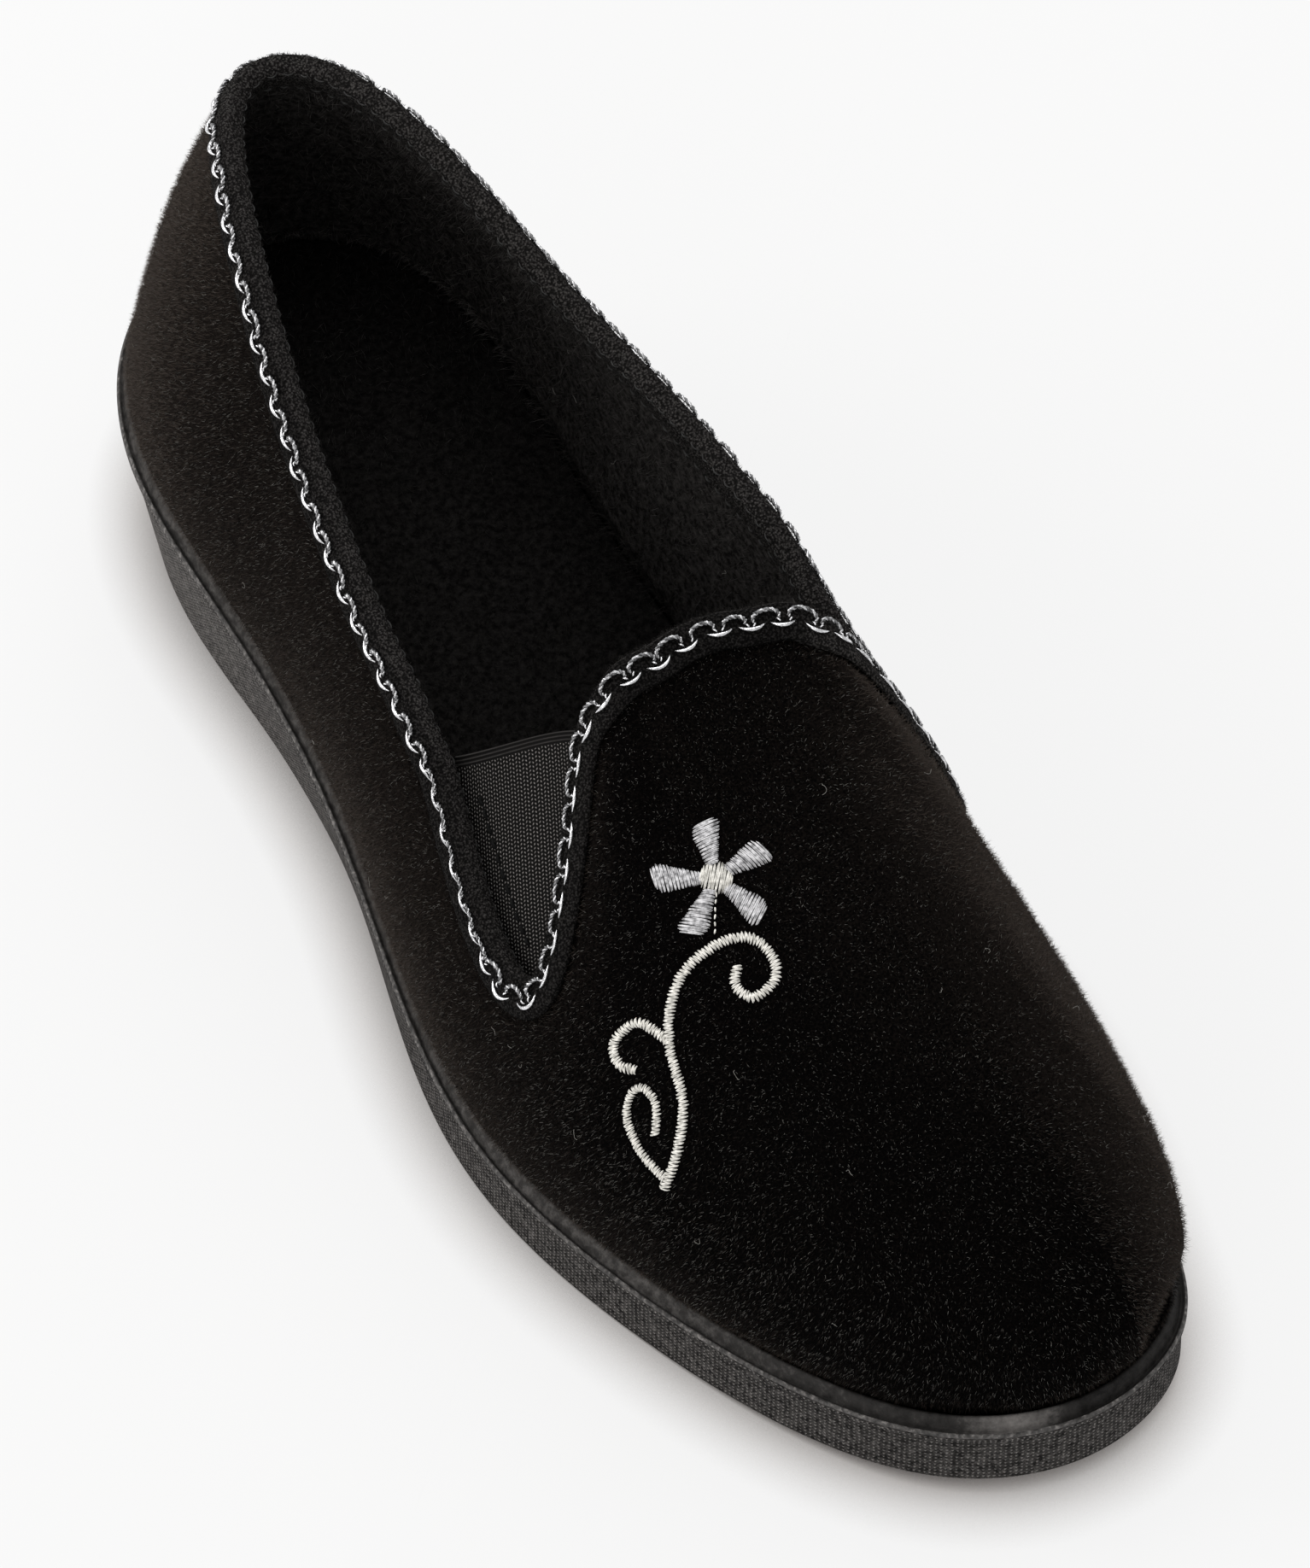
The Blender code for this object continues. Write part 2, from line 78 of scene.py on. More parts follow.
# Stations round the shoe, from the heel's back along the outer side to the toe and back along the inner side:
# shares of length, ball width and instep height, degrees for lean and drop, shares of the rib for the pulls
COLUMNS = ("along", "across", "top_along", "top_across", "top_height",
           "lean", "foot_pull", "drop", "top_pull")
STATIONS = (
    ("heel_back", 0.000, 0.005, 0.056, 0.000, 0.986, -4, 0.35, 66, 0.35),
    ("heel_back_outer", 0.031, 0.229, 0.084, 0.086, 0.994, -6, 0.35, 57, 0.36),
    ("heel_outer", 0.133, 0.389, 0.168, 0.188, 0.990, 8, 0.35, 60, 0.35),
    ("quarter_outer", 0.280, 0.413, 0.284, 0.274, 0.869, 16, 0.35, 64, 0.35),
    ("waist_outer", 0.408, 0.435, 0.376, 0.322, 0.780, 18, 0.36, 64, 0.35),
    ("shank_outer", 0.500, 0.484, 0.428, 0.342, 0.741, 18, 0.38, 62, 0.35),
    ("ball_outer", 0.568, 0.520, 0.466, 0.351, 0.718, 18, 0.40, 56, 0.35),
    ("gore_rear_outer", 0.652, 0.534, 0.508, 0.347, 0.706, 16, 0.42, 40, 0.37),
    ("gore_front_outer", 0.780, 0.461, 0.568, 0.205, 0.909, 14, 0.38, 24, 0.38),
    ("tab_outer", 0.832, 0.410, 0.570, 0.145, 0.989, 14, 0.34, 26, 0.38),
    ("toe_outer", 0.898, 0.326, 0.569, 0.078, 0.999, 14, 0.30, 27, 0.38),
    ("tip_outer", 0.970, 0.168, 0.567, 0.025, 1.000, 14, 0.25, 28, 0.38),
    ("toe_tip", 1.000, -0.064, 0.567, -0.022, 1.000, 16, 0.22, 28, 0.38),
    ("tip_inner", 0.968, -0.275, 0.569, -0.067, 0.998, 24, 0.25, 28, 0.37),
    ("toe_inner", 0.898, -0.359, 0.574, -0.123, 0.990, 19, 0.26, 28, 0.34),
    ("tab_inner", 0.836, -0.406, 0.580, -0.192, 0.972, 7, 0.27, 30, 0.31),
    ("gore_front_inner", 0.784, -0.438, 0.588, -0.240, 0.915, -5, 0.27, 34, 0.29),
    ("gore_rear_inner", 0.644, -0.453, 0.514, -0.338, 0.716, -5, 0.33, 46, 0.32),
    ("ball_inner", 0.568, -0.410, 0.468, -0.350, 0.738, 4, 0.38, 56, 0.35),
    ("shank_inner", 0.500, -0.369, 0.430, -0.338, 0.764, 10, 0.36, 62, 0.35),
    ("waist_inner", 0.408, -0.331, 0.378, -0.316, 0.798, 10, 0.36, 64, 0.35),
    ("quarter_inner", 0.280, -0.330, 0.280, -0.252, 0.876, 10, 0.35, 64, 0.35),
    ("heel_inner", 0.132, -0.337, 0.152, -0.180, 0.984, 4, 0.35, 66, 0.35),
    ("heel_back_inner", 0.035, -0.227, 0.077, -0.100, 1.000, -2, 0.35, 70, 0.35),
)
# Notches by the gore behind each: rear and front station
NOTCHES = {
    "gore_outer": ("gore_rear_outer", "gore_front_outer"),
    "gore_inner": ("gore_rear_inner", "gore_front_inner"),
}
NOTCH_FOOT = 0.57
NOTCH_REAR_REACH = 0.0175
NOTCH_FRONT_REACH = 0.0150
NOTCH_BOTTOM_ROUND = 0.85
NOTCH_SHOULDER_ROUND = 0.35
GORE_MARGIN_T = 0.0035
GORE_MARGIN_S = 0.07
GORE_TOP = 0.985
GORE_CROWN = 0.042


# Shape of the shoe, as in the solids

def smooth_step(share):
    """Eases from 0 to 1 as the share does."""
    share = np.clip(share, 0.0, 1.0)
    return share * share * (3.0 - 2.0 * share)


def stretch_share(along, stretch):
    """How far a length share lies through a stretch of the shoe."""
    return (along - stretch[0]) / (stretch[1] - stretch[0])


def unit(vectors):
    return vectors / np.linalg.norm(vectors, axis=-1, keepdims=True)


def walk(points):
    """Distances along a line of points."""
    return np.concatenate([[0.0], np.cumsum(np.linalg.norm(np.diff(points, axis=0), axis=1))])


TABLE = np.array([row[1:] for row in STATIONS])
EDGE_POINTS = np.column_stack([TABLE[:, 1] * BALL_WIDTH, (TABLE[:, 0] - 0.5) * SHOE_LENGTH])
SPANS = np.linalg.norm(np.roll(EDGE_POINTS, -1, axis=0) - EDGE_POINTS, axis=1)
KNOTS = np.concatenate([[0.0], np.cumsum(SPANS)[:-1]])
ROUND_LENGTH = SPANS.sum()
TURN_OF = {row[0]: float(knot) for row, knot in zip(STATIONS, KNOTS)}


def closed_slopes(values):
    """Slopes at the stations of the smoothest closed curve through the values there."""
    count = len(SPANS)
    before = np.roll(SPANS, 1)
    rise = (np.roll(values, -1, axis=0) - values) / SPANS[:, None] ** 2
    system = np.zeros((count, count))
    rows = np.arange(count)
    system[rows, rows] = 2.0 / before + 2.0 / SPANS
    system[rows, (rows - 1) % count] = 1.0 / before
    system[rows, (rows + 1) % count] = 1.0 / SPANS
    return np.linalg.solve(system, 3.0 * (rise + np.roll(rise, 1, axis=0)))


SLOPES = closed_slopes(TABLE)


def stations(turn):
    """The table's columns at distances round the sole's edge."""
    turn = np.mod(turn, ROUND_LENGTH)
    row = np.searchsorted(KNOTS, turn, side="right") - 1
    after = (row + 1) % len(KNOTS)
    span = SPANS[row][:, None]
    share = (turn - KNOTS[row])[:, None] / span
    ease = smooth_step(share)
    leave = share * (1.0 - share) ** 2 * span
    arrive = share * share * (share - 1.0) * span
    values = TABLE[row] * (1.0 - ease) + TABLE[after] * ease + SLOPES[row] * leave + SLOPES[after] * arrive
    return dict(zip(COLUMNS, values.T))


def sole_edge(turn):
    """Widest edge of the sole, seen from above."""
    at = stations(turn)
    across, along = at["across"] * BALL_WIDTH, (at["along"] - 0.5) * SHOE_LENGTH
    return np.column_stack([across, along, np.zeros(len(turn))])


def outward(turn, step=0.0005):
    """Level unit vectors that point out of the sole's edge."""
    return np.cross(unit(sole_edge(turn + step) - sole_edge(turn - step)), UP)


def edge_ring(turn, inset, height):
    """Ring of points inside the sole's edge at the given heights."""
    ring = sole_edge(turn) - outward(turn) * np.reshape(inset, (-1, 1))
    ring[:, 2] = height
    return ring


def toe_rise(along):
    return TOE_SPRING * np.clip(stretch_share(along, SPRING_STRETCH), 0.0, 1.0) ** 2


def bottom_height(along):
    """Underside: flat heel and forefoot, a shallow arch between them and the toe spring."""
    arch = np.sin(np.pi * np.clip(stretch_share(along, ARCH_STRETCH), 0.0, 1.0)) ** 2
    return ARCH_RISE * arch + toe_rise(along)


def rim_height(along):
    """Ridge of the side wall: the wedge falls from the heel to the forefoot."""
    wedge = smooth_step(stretch_share(along, WEDGE_STRETCH))
    return HEEL_RISE + (FOREFOOT_RISE - HEEL_RISE) * wedge + toe_rise(along)


def undercut(along):
    """Inset of the side wall's foot."""
    share = smooth_step(stretch_share(along, UNDERCUT_STRETCH))
    return HEEL_UNDERCUT + (FOREFOOT_UNDERCUT - HEEL_UNDERCUT) * share


def well_floor(turn):
    """Height at which upper and insole stand in the sole's well."""
    return rim_height(stations(turn)["along"]) - WELL_DEPTH + GAP


def wall(turn, share):
    """Points on the outer face; share runs from 0 at the lip to 1 at the opening."""
    at = stations(turn)
    out = outward(turn)
    foot = edge_ring(turn, UPPER_INSET, rim_height(at["along"]) + LIP_RISE + GAP)
    top = np.column_stack([at["top_across"] * BALL_WIDTH, (at["top_along"] - 0.5) * SHOE_LENGTH,
                           at["top_height"] * INSTEP_HEIGHT])
    span = np.linalg.norm(top - foot, axis=1)
    fan = unit((foot - top) * [1.0, 1.0, 0.0] + out * SIDE_LEAVE)
    lean, drop = (np.radians(at[name])[:, None] for name in ("lean", "drop"))
    foot_pull, top_pull = ((span * at[name])[:, None] for name in ("foot_pull", "top_pull"))
    foot_guide = foot + foot_pull * (out * np.sin(lean) + UP * np.cos(lean))
    top_guide = top + top_pull * (fan * np.cos(drop) - UP * np.sin(drop))
    share = np.asarray(share)[:, None]
    rest = 1.0 - share
    return (rest**3 * foot + 3.0 * rest**2 * share * foot_guide
            + 3.0 * rest * share**2 * top_guide + share**3 * top)


def wall_slopes(turn, share, turn_step=0.0004, share_step=0.004):
    """How the outer face runs round the shoe and up the wall."""
    round_slope = (wall(turn + turn_step, share) - wall(turn - turn_step, share)) / (2.0 * turn_step)
    up_slope = (wall(turn, share + share_step) - wall(turn, share - share_step)) / (2.0 * share_step)
    return round_slope, up_slope


def wall_normal(turn, share):
    """Unit vectors that point out of the outer face."""
    return unit(np.cross(*wall_slopes(turn, share)))


def notch_place(name):
    """Middle of a notch round the shoe, and 1 or -1 for the way round that leads to its front."""
    rear, front = (TURN_OF[station] for station in NOTCHES[name])
    return 0.5 * (rear + front), np.sign(front - rear)


def notch_reach(name, turn):
    """Distance from a notch's middle: -1 at its rear shoulder, 1 at its front one."""
    centre, forward = notch_place(name)
    offset = (np.mod(turn, ROUND_LENGTH) - centre) * forward
    return offset / np.where(offset < 0.0, NOTCH_REAR_REACH, NOTCH_FRONT_REACH)


def opening_share(turn):
    """Wall share at the edge of the opening: 1 at the collar, less in the notches."""
    edge = np.ones(len(turn))
    for name in NOTCHES:
        slope = np.hypot(notch_reach(name, turn), NOTCH_BOTTOM_ROUND) - NOTCH_BOTTOM_ROUND
        slope /= np.hypot(1.0, NOTCH_BOTTOM_ROUND) - NOTCH_BOTTOM_ROUND
        side = 0.5 * (1.0 + slope - np.hypot(1.0 - slope, NOTCH_SHOULDER_ROUND))
        edge = np.minimum(edge, NOTCH_FOOT + (1.0 - NOTCH_FOOT) * side)
    return edge


def opening_frame(turn, step=0.0003):
    """Share and points of the opening's edge, the wall's normal and the way out of the wall at each."""
    share = opening_share(turn)
    normal = wall_normal(turn, share)
    ahead = wall(turn + step, opening_share(turn + step))
    behind = wall(turn - step, opening_share(turn - step))
    return share, wall(turn, share), normal, unit(np.cross(normal, ahead - behind))


def below_edge(turn, drop, steps=6):
    """Places in the wall at a drop below the opening's edge, reached in short steps square to it."""
    share, _, _, out_of_wall = opening_frame(turn)
    stride = (-drop / steps * out_of_wall)[:, :, None]
    for _ in range(steps):
        slopes = np.stack(wall_slopes(turn, share), axis=2)
        across = np.swapaxes(slopes, 1, 2)
        moved = np.linalg.solve(across @ slopes, across @ stride)[:, :, 0]
        turn, share = turn + moved[:, 0], share + moved[:, 1]
    return turn, share


def beside_edge(turn, depth, drop):
    """Points at a depth outside the wall's outer face and a drop below the opening's edge."""
    if drop < 0.0:
        _, edge, normal, out_of_wall = opening_frame(turn)
        return edge + normal * depth - out_of_wall * drop
    place = below_edge(turn, drop)
    return wall(*place) + wall_normal(*place) * depth


def even_turns(count, drop):
    """Distances round the shoe at even steps along a line below the opening's edge."""
    fine = np.linspace(0.0, ROUND_LENGTH, 3000)
    walked = walk(beside_edge(fine, 0.0, drop))
    return np.interp(np.arange(count) * walked[-1] / count, walked, fine)


# The frame's origin lies below the middle of the sole's outline.
EDGE_WIDTHS = sole_edge(np.linspace(0.0, ROUND_LENGTH, 2000))[:, 0]
AXIS_SHIFT = np.array([-0.5 * (EDGE_WIDTHS.min() + EDGE_WIDTHS.max()), 0.0, 0.0])


# Materials

LOOKS = {}


class Field:
    """A value over a material, from a node; sums and products of such values add further nodes."""

    def __init__(self, look, socket):
        self.look = look
        self.socket = socket

    def __add__(self, other):
        return self.look.maths("ADD", self, other)

    def __sub__(self, other):
        return self.look.maths("SUBTRACT", self, other)

    def __mul__(self, other):
        return self.look.maths("MULTIPLY", self, other)


class Look:
    """One material, kept under its name, with short ways to add nodes to it."""

    def __init__(self, name, colour, roughness, specular, metallic=0.0):
        LOOKS[name] = bpy.data.materials.new(name)
        LOOKS[name].use_nodes = True
        self.tree = LOOKS[name].node_tree
        self.shader = self.tree.nodes["Principled BSDF"]
        self.set(self.shader, {"Base Color": (*colour, 1.0), "Roughness": roughness,
                               "Specular IOR Level": specular, "Metallic": metallic})

    def set(self, node, inputs):
        """Gives inputs of a node plain values or fields."""
        for key, value in inputs.items():
            if isinstance(value, Field):
                self.tree.links.new(value.socket, node.inputs[key])
            else:
                node.inputs[key].default_value = value

    def node(self, kind, inputs, output=0, **settings):
        """Adds a node, and returns one of its outputs as a field."""
        node = self.tree.nodes.new("ShaderNode" + kind)
        for key, value in settings.items():
            setattr(node, key, value)
        self.set(node, inputs)
        return Field(self, node.outputs[output])

    def maths(self, operation, first, second=0.0):
        return self.node("Math", {0: first, 1: second}, operation=operation)

    def place(self):
        return self.node("TexCoord", {}, "Object")

    def coordinate(self, kind, axis):
        """One coordinate of the UV map or of the piece's own space."""
        return self.node("SeparateXYZ", {0: self.node("TexCoord", {}, kind)}, axis)

    def noise(self, scale, detail=2.0, coarse=0.5):
        return self.node("TexNoise", {"Vector": self.place(), "Scale": scale, "Detail": detail,
                                      "Roughness": coarse}, "Fac")

    def wave(self, distance, pitch, shift=0.0):
        """A sine over a distance, from -1 to 1."""
        return self.maths("SINE", distance * (2.0 * math.pi / pitch) + shift)

    def ramp(self, source, stops):
        """Colours over a field; each stop is a place and a colour."""
        made = self.node("ValToRGB", {"Fac": source}, "Color")
        elements = made.socket.node.color_ramp.elements
        while len(elements) < len(stops):
            elements.new(0.5)
        for element, (position, colour) in zip(elements, stops):
            element.position = position
            element.color = (*colour, 1.0)
        return made

    def scaled(self, colour, factor):
        """A colour times a field."""
        return self.node("VectorMath", {0: colour, "Scale": factor}, operation="SCALE")

    def bump(self, height, distance, strength=1.0, **after):
        """A normal bent by a height; after may give the Normal that it starts from."""
        return self.node("Bump", {"Height": height, "Distance": distance, "Strength": strength, **after})

    def show(self, colour, normal=None, roughness=None):
        """Joins fields to the shader."""
        for key, field in (("Base Color", colour), ("Normal", normal), ("Roughness", roughness)):
            if field:
                self.set(self.shader, {key: field})


def grey(value):
    """A black dye's faded tone: grey with a little red left in it."""
    return value, 0.94 * value, 0.90 * value


def greys(*stops):
    """Stops of a ramp from places and faded tones."""
    return [(place, grey(value)) for place, value in stops]


def between(low, dark, high, light):
    """Two stops of a ramp."""
    return (low, dark), (high, light)


# Velour hairs run from black to brown up to the first tone; from the second on they are grey, painted glints
# of light
BROWN_TONE = 0.60
GLINT_TONE = 0.66
VELOUR_STOPS = ((0.0, (0.0015, 0.0013, 0.0013)), (0.10, (0.0060, 0.0052, 0.0049)),
                (BROWN_TONE, (0.078, 0.0635, 0.0540)), (GLINT_TONE, (0.012, 0.0115, 0.0108)),
                (1.0, (0.30, 0.29, 0.27)))
GROUND_STOPS = ((0.0, (0.0014, 0.0012, 0.0012)), (0.5, (0.0100, 0.0081, 0.0070)),
                (1.0, (0.028, 0.023, 0.0197)))
# Hairs: roughness and stops from the darkest tone to the palest
HAIRS = {
    "velour_hair": (0.6, VELOUR_STOPS),
    "lining_hair": (0.7, greys((0.0, 0.002), (0.5, 0.060), (1.0, 0.25))),
    "tape_hair": (0.7, greys((0.0, 0.005), (0.5, 0.050), (1.0, 0.22))),
}
# Painted shade at the foot of each hair: the share of its tone left there
HAIR_FOOT_SHADE = 0.35
# Plain mottled looks: roughness, specular, metallic, scale, detail and coarseness of the mottle, bump, stops
FLEECE = (0.95, 0.01, 0.0, 900.0, 4.0, 0.7, 0.0008)
YARN = (0.5, 0.92, 2200.0, 2.0, 0.5, 0.00012)
SILK = (0.36, 0.45, 0.0, 1500.0, 2.0, 0.5, 0.0)
THREAD = (0.8, 0.06, 0.0, 1800.0, 2.0, 0.5, 0.0)
MOTTLED = {
    "lining_ground": (*FLEECE, between(0.38, grey(0.008), 0.70, grey(0.05))),
    "insole_ground": (*FLEECE, between(0.38, grey(0.004), 0.70, grey(0.017))),
    "ridge_rubber": (0.6, 0.3, 0.0, 1300.0, 3.0, 0.5, 0.0004,
                     greys((0.34, 0.022), (0.55, 0.07), (0.75, 0.22))),
    "silver_twist": (0.26, *YARN, between(0.30, (0.20, 0.20, 0.204), 0.62, (0.66, 0.66, 0.6732))),
    # silver_shade is the silver darkened as painted shade, for the second strand that shows each arch's twist
    "silver_shade": (0.38, *YARN, between(0.30, (0.04, 0.04, 0.0408), 0.62, (0.22, 0.22, 0.2244))),
    "silver_flat": (0.20, *YARN, between(0.30, (0.50, 0.50, 0.51), 0.62, (0.92, 0.92, 0.9384))),
    "pearl_silk": (*SILK, between(0.3, (0.17, 0.168, 0.174), 0.65, (0.72, 0.715, 0.728))),
    "ivory_silk": (*SILK, between(0.3, (0.40, 0.39, 0.355), 0.65, (0.86, 0.84, 0.785))),
    "black_thread": (*THREAD, between(0.3, (0.0225, 0.0225, 0.022), 0.7, (0.045, 0.045, 0.044))),
    "dark_thread": (*THREAD, between(0.3, (0.003, 0.003, 0.003), 0.7, (0.006, 0.006, 0.006))),
    "lint": (*THREAD, between(0.3, (0.15, 0.145, 0.135), 0.7, (0.30, 0.29, 0.27))),
}
GORE_RIB = 0.00072
GORE_PICK = 0.00060
GORE_CORD = 0.00058
GORE_SELVEDGE = 3 * GORE_CORD
WALL_WARP = 0.00078
WALL_WEFT = 0.00080
# How much paler the sole's wall is painted for each metre from its middle to the heel: painted light
HEEL_LIGHT = 1.1
TIP_TURN = TURN_OF["toe_tip"]
# Half width of the painted highlight on the lip, distance of its middle from the toe's tip, half the reach of
# the dark toe
HIGHLIGHT_REACH = 0.010
HIGHLIGHT_PLACE = 0.0135
LIP_SIDES = 0.035
TREAD_PITCH = 0.0042
TREAD_ZIGZAG = 0.006


def mottled(name, roughness, specular, metallic, scale, detail, coarse, bump, stops):
    """Fleece, yarn, thread or worn rubber: one tone that varies from place to place."""
    look = Look(name, stops[-1][1], roughness, specular, metallic)
    tone = look.noise(scale, detail, coarse)
    look.show(look.ramp(tone, stops), look.bump(tone, bump) if bump else None)


def pile_hair(name, roughness, stops):
    """Hairs with a tone of their own in the UV map's first coordinate, and painted shade that darkens them at
    the foot.
    """
    look = Look(name, stops[0][1], roughness, 0.02)
    shade = look.coordinate("UV", "Y") * (1.0 - HAIR_FOOT_SHADE) + HAIR_FOOT_SHADE
    look.show(look.scaled(look.ramp(look.coordinate("UV", "X"), stops), shade))


def velour_ground():
    """Pile under the longer hairs: black on the vamp, browner as painted sheen where the face turns away from
    the nap's dark way.
    """
    look = Look("velour_ground", grey(0.002), 0.95, 0.01)
    fine = look.noise(2600.0, 3.0)
    tone = look.coordinate("UV", "X") + (fine - 0.5) * 0.9
    look.show(look.ramp(tone, GROUND_STOPS), look.bump(fine, 0.0006))


def knit_tape():
    """Brushed knit: small curled loops, fuzzed over, and shaded by the UV map's first coordinate, which
    carries painted shade and sheen.
    """
    look = Look("knit_tape", grey(0.006), 0.95, 0.04)
    loops = look.node("TexVoronoi", {"Vector": look.place(), "Scale": 2500.0}, "Distance")
    height = look.noise(3200.0) - loops * 0.8
    tone = look.ramp(height, greys((0.0, 0.006), (0.45, 0.056)))
    look.show(look.scaled(tone, look.coordinate("UV", "X")), look.bump(height, 0.0004))


def gore_weave():
    """Ribbed elastic: ribs up the panel, short pale picks staggered on them, cords along the upper edge."""
    look = Look("gore_weave", grey(0.03), 0.8, 0.04)
    round_way, below_top = (look.coordinate("UV", axis) for axis in "XY")
    stagger = look.wave(round_way, 2 * GORE_RIB) * 1.5 + look.noise(600.0) * 1.6
    ribs = look.wave(round_way, GORE_RIB) + 1.0
    picks = look.wave(below_top, GORE_PICK, stagger) + 1.0
    cords = (look.wave(below_top, GORE_CORD) + 1.2) * 0.14
    in_selvedge = look.maths("LESS_THAN", below_top, GORE_SELVEDGE)
    in_panel = look.maths("SUBTRACT", 1.0, in_selvedge)
    height = ribs * picks * 0.25 * in_panel + cords * in_selvedge
    look.show(look.ramp(height, greys((0.02, 0.003), (0.22, 0.012), (0.55, 0.080), (1.0, 0.30))),
              look.bump(height, 0.0005))


def sole_rubber():
    """Side wall: rubber moulded with the weave of a cloth, dulled, with painted light that makes it paler
    towards the heel.
    """
    look = Look("sole_rubber", grey(0.045), 0.85, 0.06)
    wobble = look.noise(420.0, 3.0) * 5.0
    warp = look.wave(look.coordinate("UV", "X"), WALL_WARP, wobble)
    weft = look.wave(look.coordinate("UV", "Y"), WALL_WEFT, wobble + warp * 0.6)
    cloth = (warp + 1.0) * (weft + 1.0)
    dust = look.noise(900.0, 4.0, 0.7)
    # Painted light: the wall grows paler towards the heel
    heel_light = look.maths("MAXIMUM", look.coordinate("Object", "Y") * -1.0, 0.0) * HEEL_LIGHT
    shade = cloth * 0.10 + (dust * 0.8 + heel_light)
    look.show(look.ramp(shade, greys((0.32, 0.010), (0.50, 0.065), (0.80, 0.30))),
              look.bump(dust, 0.0003, 0.5, Normal=look.bump(cloth, 0.00024)))


def lip_rubber():
    """Smooth lip above the groove: dark at the toe with a painted highlight near the tip, and paler along the
    sides.
    """
    look = Look("lip_rubber", grey(0.006), 0.6, 0.10)
    round_way = look.coordinate("UV", "X")
    # Painted highlight: a pale band on the lip near the toe's tip
    from_highlight = look.maths("ABSOLUTE", round_way - (TIP_TURN - HIGHLIGHT_PLACE))
    in_highlight = look.maths("MAXIMUM", from_highlight * (-1.0 / HIGHLIGHT_REACH) + 1.0, 0.0)
    from_tip = look.maths("ABSOLUTE", round_way - TIP_TURN)
    on_sides = look.maths("MINIMUM", from_tip * (0.5 / LIP_SIDES), 1.0)
    mottle = look.noise(700.0, 4.0, 0.7)
    tone = mottle * 0.5 + (in_highlight * 0.40 + on_sides * 0.17)
    look.show(look.ramp(tone, greys((0.20, 0.007), (0.38, 0.028), (0.72, 0.17))),
              look.bump(mottle, 0.0003, 0.7), look.ramp(mottle, between(0.35, (0.55,) * 3, 0.7, (0.75,) * 3)))


def tread_rubber():
    """Underside with a fine moulded tread of slanting ribs."""
    look = Look("tread_rubber", (0.03, 0.029, 0.028), 0.7, 0.35)
    zigzag = look.maths("PINGPONG", look.coordinate("Object", "X"), TREAD_ZIGZAG) * 900.0
    ribs = look.wave(look.coordinate("Object", "Y"), TREAD_PITCH, zigzag)
    tones = between(0.3, (0.02, 0.0195, 0.019), 0.8, (0.05, 0.048, 0.046))
    look.show(look.ramp(look.noise(240.0, 4.0), tones), look.bump(ribs, 0.0008))


for look_name, row in MOTTLED.items():
    mottled(look_name, *row)
for look_name, row in HAIRS.items():
    pile_hair(look_name, *row)
for make_look in (velour_ground, knit_tape, gore_weave, sole_rubber, lip_rubber, tread_rubber):
    make_look()


# Meshes from arrays

def add_piece(name, points, groups, looks, uv=None, replaces=()):
    """A mesh piece. Each group is (faces, look index); uv has a pair for each corner of the first group."""
    mesh = bpy.data.meshes.new(name)
    points = np.reshape(points, (-1, 3))
    corners = np.concatenate([faces.ravel() for faces, _ in groups])
    sizes = np.concatenate([np.full(len(faces), faces.shape[1]) for faces, _ in groups])
    kinds = np.concatenate([np.broadcast_to(look, len(faces)) for faces, look in groups])
    mesh.vertices.add(len(points))
    mesh.vertices.foreach_set("co", (points + AXIS_SHIFT).astype(np.float32).ravel())
    mesh.loops.add(len(corners))
    mesh.loops.foreach_set("vertex_index", corners.astype(np.int32))
    mesh.polygons.add(len(sizes))
    mesh.polygons.foreach_set("loop_start", (np.cumsum(sizes) - sizes).astype(np.int32))
    mesh.polygons.foreach_set("material_index", kinds.astype(np.int32))
    if uv is not None:
        pairs = np.zeros((len(corners), 2), np.float32)
        pairs[:len(uv)] = uv
        mesh.uv_layers.new(name="cloth").data.foreach_set("uv", pairs.ravel())
    mesh.update(calc_edges=True)
    mesh.shade_smooth()
    for look in looks:
        mesh.materials.append(LOOKS[look])
    piece = bpy.data.objects.new(name, mesh)
    bpy.context.scene.collection.objects.link(piece)
    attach(piece, "root")
    if replaces:
        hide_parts(*replaces)
    return piece


def grid_faces(rings, wrap_rows=False):
    """Quads over rings of points, and the row and column of each corner, counted on past a wrap."""
    rows, columns = rings.shape[:2]
    row, col = np.meshgrid(np.arange(rows if wrap_rows else rows - 1), np.arange(columns), indexing="ij")
    row, col = row.ravel(), col.ravel()
    corner_rows = np.stack([row, row, row + 1, row + 1], axis=1)
    corner_columns = np.stack([col, col + 1, col + 1, col], axis=1)
    return (corner_rows % rows) * columns + corner_columns % columns, corner_rows, corner_columns


def tone_uv(tones, faces):
    """UV pairs that carry a tone of each point in their first coordinate."""
    return np.column_stack([tones.ravel()[faces.ravel()], np.zeros(faces.size)])


def cap_groups(rings, first_look, last_look):
    """Strips of quads, with a triangle at each end, that close the first and the last of a stack of rings."""
    count = rings.shape[1]
    half = count // 2
    near = np.arange(1, half - 1)
    groups = []
    first, last = np.arange(count)[::-1], np.arange(count) + rings[1:, :, 0].size
    for ring, look in ((first, first_look), (last, last_look)):
        quads = np.stack([ring[near], ring[near + 1], ring[-near - 1], ring[-near]], axis=1)
        ends = np.array([[ring[0], ring[1], ring[-1]], [ring[half], ring[half + 1], ring[half - 1]]])
        groups += [(quads, look), (ends, look)]
    return groups


def wrapped(grid):
    """A grid of rings with its first column again at the end."""
    return np.concatenate([grid, grid[:, :1]], axis=1)


